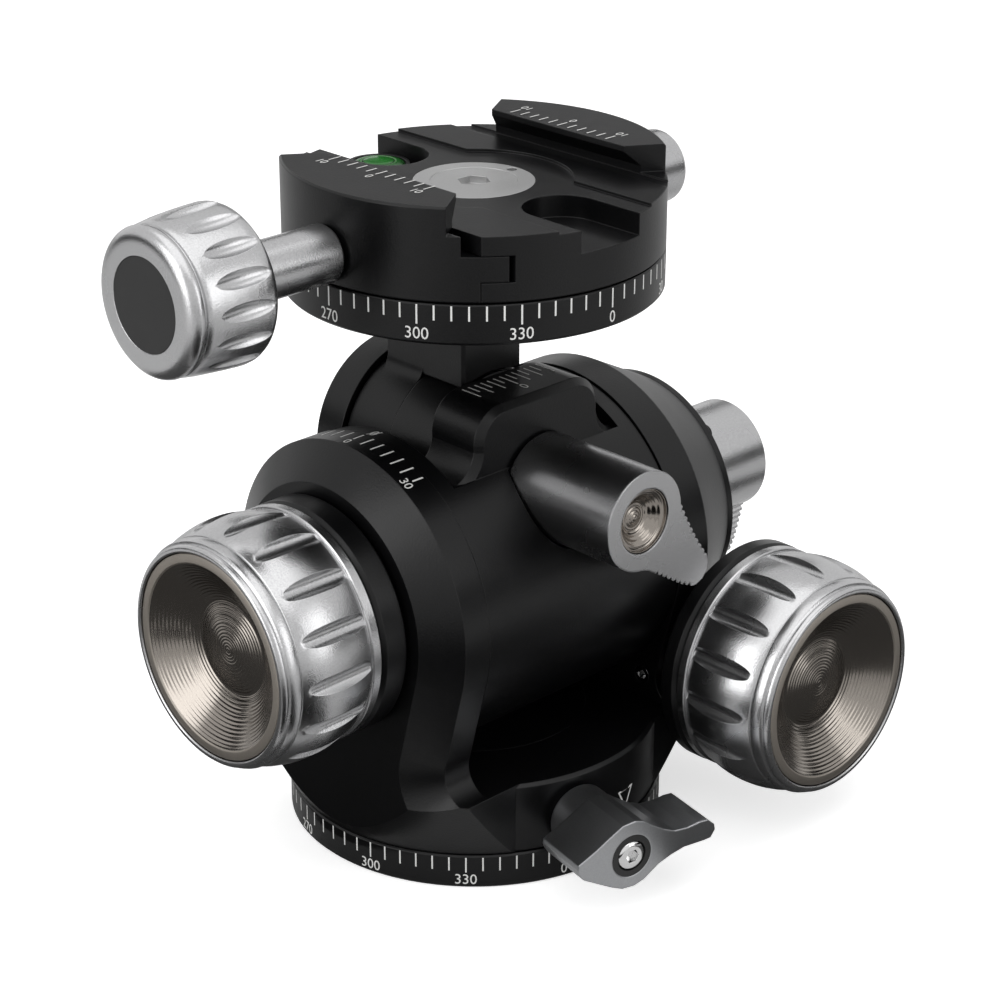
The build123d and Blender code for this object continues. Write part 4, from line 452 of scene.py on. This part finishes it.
# ------------------------------------------------------------------ engraved marks
def strokes(x, low, high, width):
    """Upright bars: one rectangle at each x, from low to high."""
    x, low, high = np.broadcast_arrays(np.array(x, float), low, high)
    h = width / 2
    points = np.stack([np.stack([x - h, low], -1), np.stack([x + h, low], -1),
                       np.stack([x + h, high], -1), np.stack([x - h, high], -1)], 1).reshape(-1, 2)
    return points, np.arange(len(points)).reshape(-1, 4).tolist()


def figures(text, x, y, height):
    """Flat numerals of a height, centred on (x, y)."""
    curve = bpy.data.curves.new("figures", "FONT")
    curve.body = text
    curve.resolution_u = 3
    holder = bpy.data.objects.new("figures", curve)
    mesh = bpy.data.meshes.new_from_object(holder)
    flat = np.zeros(len(mesh.vertices) * 3)
    mesh.vertices.foreach_get("co", flat)
    flat = flat.reshape(-1, 3)[:, :2]
    faces = [list(face.vertices) for face in mesh.polygons]
    bpy.data.objects.remove(holder)
    bpy.data.meshes.remove(mesh)
    low, high = flat.min(0), flat.max(0)
    scale = height / (high[1] - low[1])
    return (flat - (low + high) / 2) * (scale * 0.96, scale) + (x, y), faces


def outline(corners, width):
    """A closed polygon drawn as a band of a width inside its corners."""
    corners = np.array(corners, float)
    back = corners - np.roll(corners, 1, axis=0)
    ahead = np.roll(corners, -1, axis=0) - corners
    back /= np.linalg.norm(back, axis=1)[:, None]
    ahead /= np.linalg.norm(ahead, axis=1)[:, None]
    normal = np.stack([-back[:, 1], back[:, 0]], -1) + np.stack([-ahead[:, 1], ahead[:, 0]], -1)
    inset = corners + normal * width / (1 + (back * ahead).sum(1))[:, None]
    count = len(corners)
    faces = [[k, (k + 1) % count, count + (k + 1) % count, count + k] for k in range(count)]
    return np.concatenate([corners, inset]), faces


def joined(*patterns):
    """Several flat patterns as one."""
    points, faces, start = [], [], 0
    for part_points, part_faces in patterns:
        points.append(part_points)
        faces += [[start + k for k in face] for face in part_faces]
        start += len(part_points)
    return np.concatenate(points), faces


PROUD = 0.03          # how far a mark's face stands off its surface
FILM = 0.022          # thickness of the enamel in it


def engraved(name, pattern, lay, body):
    """A flat pattern laid on a surface by lay(x, y, lift), as a thin film of enamel just proud of it."""
    points, faces = pattern
    mesh = bpy.data.meshes.new(name)
    mesh.from_pydata((lay(points[:, 0], points[:, 1], PROUD) * MM).tolist(), [], faces)
    mesh.materials.append(enamel)
    piece = bpy.data.objects.new(name, mesh)
    bpy.context.scene.collection.objects.link(piece)
    film = piece.modifiers.new("film", "SOLIDIFY")
    film.thickness = FILM * MM
    film.offset = -1
    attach(piece, body)
    return piece


def round_z(radius):
    """Lays x along the arc of an upright drum, counter-clockwise from +X, and y up it."""
    def lay(x, y, lift):
        turn = x / radius
        return np.stack([(radius + lift) * np.cos(turn), (radius + lift) * np.sin(turn), y], -1)
    return lay


def round_x(radius):
    """Lays x forwards from the top of a drum about the tilt axis, and y along the axis."""
    def lay(x, y, lift):
        turn = x / radius
        reach = radius + lift
        return np.stack([y, -reach * np.sin(turn), TILT_Z + reach * np.cos(turn)], -1)
    return lay


def flat_on(height, right, up):
    """Lays x and y on a level face along two of its directions."""
    def lay(x, y, lift):
        ground = x[:, None] * np.array(right, float) + y[:, None] * np.array(up, float)
        return np.concatenate([ground, np.full((len(x), 1), height + lift)], 1)
    return lay


def ring_scale(radius, zero, top, short, long, label_y, label_height, width):
    """A full circle's scale with its zero at an angle from +X: a stroke every 5 degrees from the height
    top down to short, or down to long and numbered every 30."""
    value = np.arange(0, 360, 5)
    arc = radius * np.radians(value + zero)
    low = np.where(value % 30 == 0, long, short)
    numbers = [figures(str(v), radius * math.radians(v + zero), label_y, label_height)
               for v in range(0, 360, 30)]
    return joined(strokes(arc, low, top, width), *numbers)


engraved("base_ring_marks",
         ring_scale(BASE_RING_R, zero=253.64, top=5.4, short=3.05, long=2.8,
                    label_y=1.6, label_height=1.75, width=0.24),
         round_z(BASE_RING_R), "base")
engraved("top_ring_marks",
         ring_scale(TOP_RING_R, zero=270.0, top=94.9, short=92.65, long=91.95,
                    label_y=90.6, label_height=1.8, width=0.27),
         round_z(TOP_RING_R), "neck")

# the scale and its index both stand 2.5 degrees behind the top when the head is level
SCALE_TURN = RIM_R * math.radians(-2.5)
tilt_value = np.arange(-15, 31, 5)
# the numbered strokes are shorter, to leave room for their numbers
tilt_low = np.where(tilt_value % 30 == 0, -23.95, -24.55)
engraved("tilt_drum_marks", joined(
    strokes(RIM_R * np.radians(tilt_value) + SCALE_TURN, tilt_low, -21.85, 0.27),
    figures("0", SCALE_TURN, -25.1, 1.5),
    figures("30", RIM_R * math.radians(30) + SCALE_TURN, -25.1, 1.55)),
    round_x(RIM_R), "yoke")
INDEX_X = -19.75      # on the barrel's rim, beside the scale
slash = np.array([(-0.78, -0.98), (-0.6, -1.06), (0.78, 0.98), (0.6, 1.06)]) + (SCALE_TURN, INDEX_X)
engraved("tilt_index_mark", joined(figures("0", SCALE_TURN, INDEX_X, 1.75), (slash, [[0, 1, 2, 3]])),
         round_x(CHEEK_R), "tilt")

block_step = np.arange(-6, 7)
block_low = np.where(block_step % 2 == 0, -9.6, -8.0)
engraved("sideways_marks",
         joined(strokes(1.3 * block_step, block_low, -5.5, 0.24), figures("0", 0, -10.9, 1.7)),
         flat_on(BLOCK_Z, (1, 0), (0, 1)), "tilt")


def jaw_scale(near, far, label_y):
    """A jaw's scale: eleven strokes about 2 mm apart, numbered at the middle and both ends."""
    step = np.arange(-5, 6)
    end = np.where(step % 5 == 0, far - 0.2, far)
    return joined(strokes(2.05 * step, end, near, 0.25), figures("0", 0, label_y, 1.5),
                  figures("10", -10.25, label_y, 1.5), figures("10", 10.25, label_y, 1.5))


def jaw_lay(side):
    """Lays a jaw's scale across it: reading towards +Y on the left jaw, -Y on the right one."""
    def lay(x, y, lift):
        return np.stack([-side * y, -side * x + 0.6, np.full_like(x, JAW_Z + lift)], -1)
    return lay


engraved("left_jaw_marks", jaw_scale(19.1, 17.0, 20.3), jaw_lay(1), "jaw")
engraved("right_jaw_marks", jaw_scale(20.4, 18.4, 21.7), jaw_lay(-1), "clamp")

# the base's index: a triangle with its point down, over the ring's scale
left_x, point_x, right_x = DRUM_R * np.radians([275.4, 279.2, 283.0])
engraved("base_index_mark", outline([(left_x, 10.65), (point_x, 7.0), (right_x, 10.65)], 0.3),
         round_z(DRUM_R), "yoke")


# ------------------------------------------------------------------ camera, floor and light
# solved from the photo's degree rings and knob rims
LENS = 97.76
HEADING = math.radians(-44.144)
DOWN = math.radians(23.617)
ROLL = math.radians(0.103)
EYE = (-0.26984, -0.28375, 0.22362)
camera = bpy.data.objects.new("camera", bpy.data.cameras.new("camera"))
camera.data.lens = LENS
camera.data.sensor_width = 36
camera.data.sensor_fit = "HORIZONTAL"
camera.data.clip_start = 0.01
camera.matrix_world = (Matrix.Translation(EYE) @ Matrix.Rotation(HEADING, 4, "Z")
                       @ Matrix.Rotation(math.pi / 2 - DOWN, 4, "X") @ Matrix.Rotation(ROLL, 4, "Z"))
bpy.context.scene.collection.objects.link(camera)
bpy.context.scene.camera = camera


def aimed(made, centre, target):
    """Puts an object at a point with its -Z towards another point."""
    aim = np.array(target) - np.array(centre)
    made.location = centre
    made.rotation_euler = (math.pi / 2 + math.atan2(aim[2], math.hypot(aim[0], aim[1])), 0,
                           math.atan2(aim[1], aim[0]) - math.pi / 2)
    bpy.context.scene.collection.objects.link(made)
    return made


def panel(name, centre, target, width, height, power):
    """Rectangular soft lamp at a point, aimed at another. Metres and watts."""
    lamp = bpy.data.lights.new(name, "AREA")
    lamp.shape = "RECTANGLE"
    lamp.size = width
    lamp.size_y = height
    lamp.energy = power
    return aimed(bpy.data.objects.new(name, lamp), centre, target)


def card(name, centre, target, width, height, finish):
    """Dark or grey card that only reflections see: it holds the white room back from the bright metal."""
    w, h = width / 2, height / 2
    mesh = bpy.data.meshes.new(name)
    mesh.from_pydata([(-w, -h, 0), (w, -h, 0), (w, h, 0), (-w, h, 0)], [], [(0, 1, 2, 3)])
    mesh.materials.append(finish)
    made = aimed(bpy.data.objects.new(name, mesh), centre, target)
    made.visible_camera = False
    made.visible_diffuse = False
    made.visible_transmission = False
    made.visible_shadow = False
    return made


panel("overhead", (-0.10, -0.10, 0.75), (0, 0, 0.05), 0.9, 0.9, 2.6)
panel("left_wall", (-0.80, 0.10, 0.32), (0, 0, 0.06), 0.5, 0.7, 2.8)
panel("right_wall", (0.25, -0.80, 0.30), (0, 0, 0.06), 0.4, 0.6, 1.3)

flock, _, flock_shader, _ = material("black_flock", Roughness=1.0, Specular_IOR_Level=0.0)
flock_shader.inputs["Base Color"].default_value = linear("#0c0c0c")
felt, _, felt_shader, _ = material("grey_felt", Roughness=1.0, Specular_IOR_Level=0.0)
felt_shader.inputs["Base Color"].default_value = linear("#5e5e5e")
# two upright cards beside the object, three level ones close to its foot, and one high behind it
card("right_card", (0.42, -0.42, 0.09), (0, 0, 0.06), 0.50, 0.17, flock)
card("left_card", (-0.42, 0.42, 0.09), (0, 0, 0.06), 0.50, 0.17, flock)
card("near_card", (-0.11, -0.11, 0.002), (-0.11, -0.11, -1.0), 0.16, 0.16, flock)
card("near_right_card", (0.06, -0.07, 0.003), (0.06, -0.07, -1.0), 0.08, 0.12, felt)
card("near_left_card", (-0.115, 0.04, 0.004), (-0.115, 0.04, -1.0), 0.12, 0.17, felt)
card("far_card", (0.40, 0.41, 0.29), (0, 0, 0.08), 0.40, 0.14, flock)

# the camera and mirror-like rays see a white room; the rest get a plainer, dimmer light from it
world = bpy.data.worlds.new("studio")
world.use_nodes = True
bpy.context.scene.world = world
tree = world.node_tree
tree.nodes.clear()
ray = put(tree, "ShaderNodeLightPath")
direct = put(tree, "ShaderNodeMath", {"operation": "MAXIMUM"},
             {0: (ray, "Is Camera Ray"), 1: (ray, "Is Glossy Ray")})
seen = put(tree, "ShaderNodeMath", {"operation": "MAXIMUM"},
           {0: (direct, "Value"), 1: (ray, "Is Transmission Ray")})
dim = put(tree, "ShaderNodeBackground", {"Color": linear("#ffffff"), "Strength": 0.42})
bright = put(tree, "ShaderNodeBackground", {"Color": linear("#ffffff"), "Strength": 1.0})
blend = put(tree, "ShaderNodeMixShader", {},
            {0: (seen, "Value"), 1: (dim, "Background"), 2: (bright, "Background")})
put(tree, "ShaderNodeOutputWorld", {}, {"Surface": (blend, "Shader")})

FLOOR = 3.0           # half of its side, in metres
floor_mesh = bpy.data.meshes.new("floor")
floor_mesh.from_pydata([(-FLOOR, -FLOOR, 0), (FLOOR, -FLOOR, 0), (FLOOR, FLOOR, 0), (-FLOOR, FLOOR, 0)],
                       [], [(0, 1, 2, 3)])
floor = bpy.data.objects.new("floor", floor_mesh)
bpy.context.scene.collection.objects.link(floor)
floor_mat, floor_tree, floor_shader, _ = material("pale_floor", Roughness=0.9)
floor_shader.inputs["Base Color"].default_value = linear("#f4f4f4")
ray = put(floor_tree, "ShaderNodeLightPath")
# what the camera sees of the floor is lifted to white, and the object's shadow stays on it
lift = put(floor_tree, "ShaderNodeMath", {"operation": "MULTIPLY", 1: 0.62},
           {0: (ray, "Is Camera Ray")})
floor_tree.links.new(lift.outputs["Value"], floor_shader.inputs["Emission Strength"])
floor_shader.inputs["Emission Color"].default_value = linear("#ffffff")
floor.data.materials.append(floor_mat)

bpy.context.scene.view_settings.view_transform = "Standard"
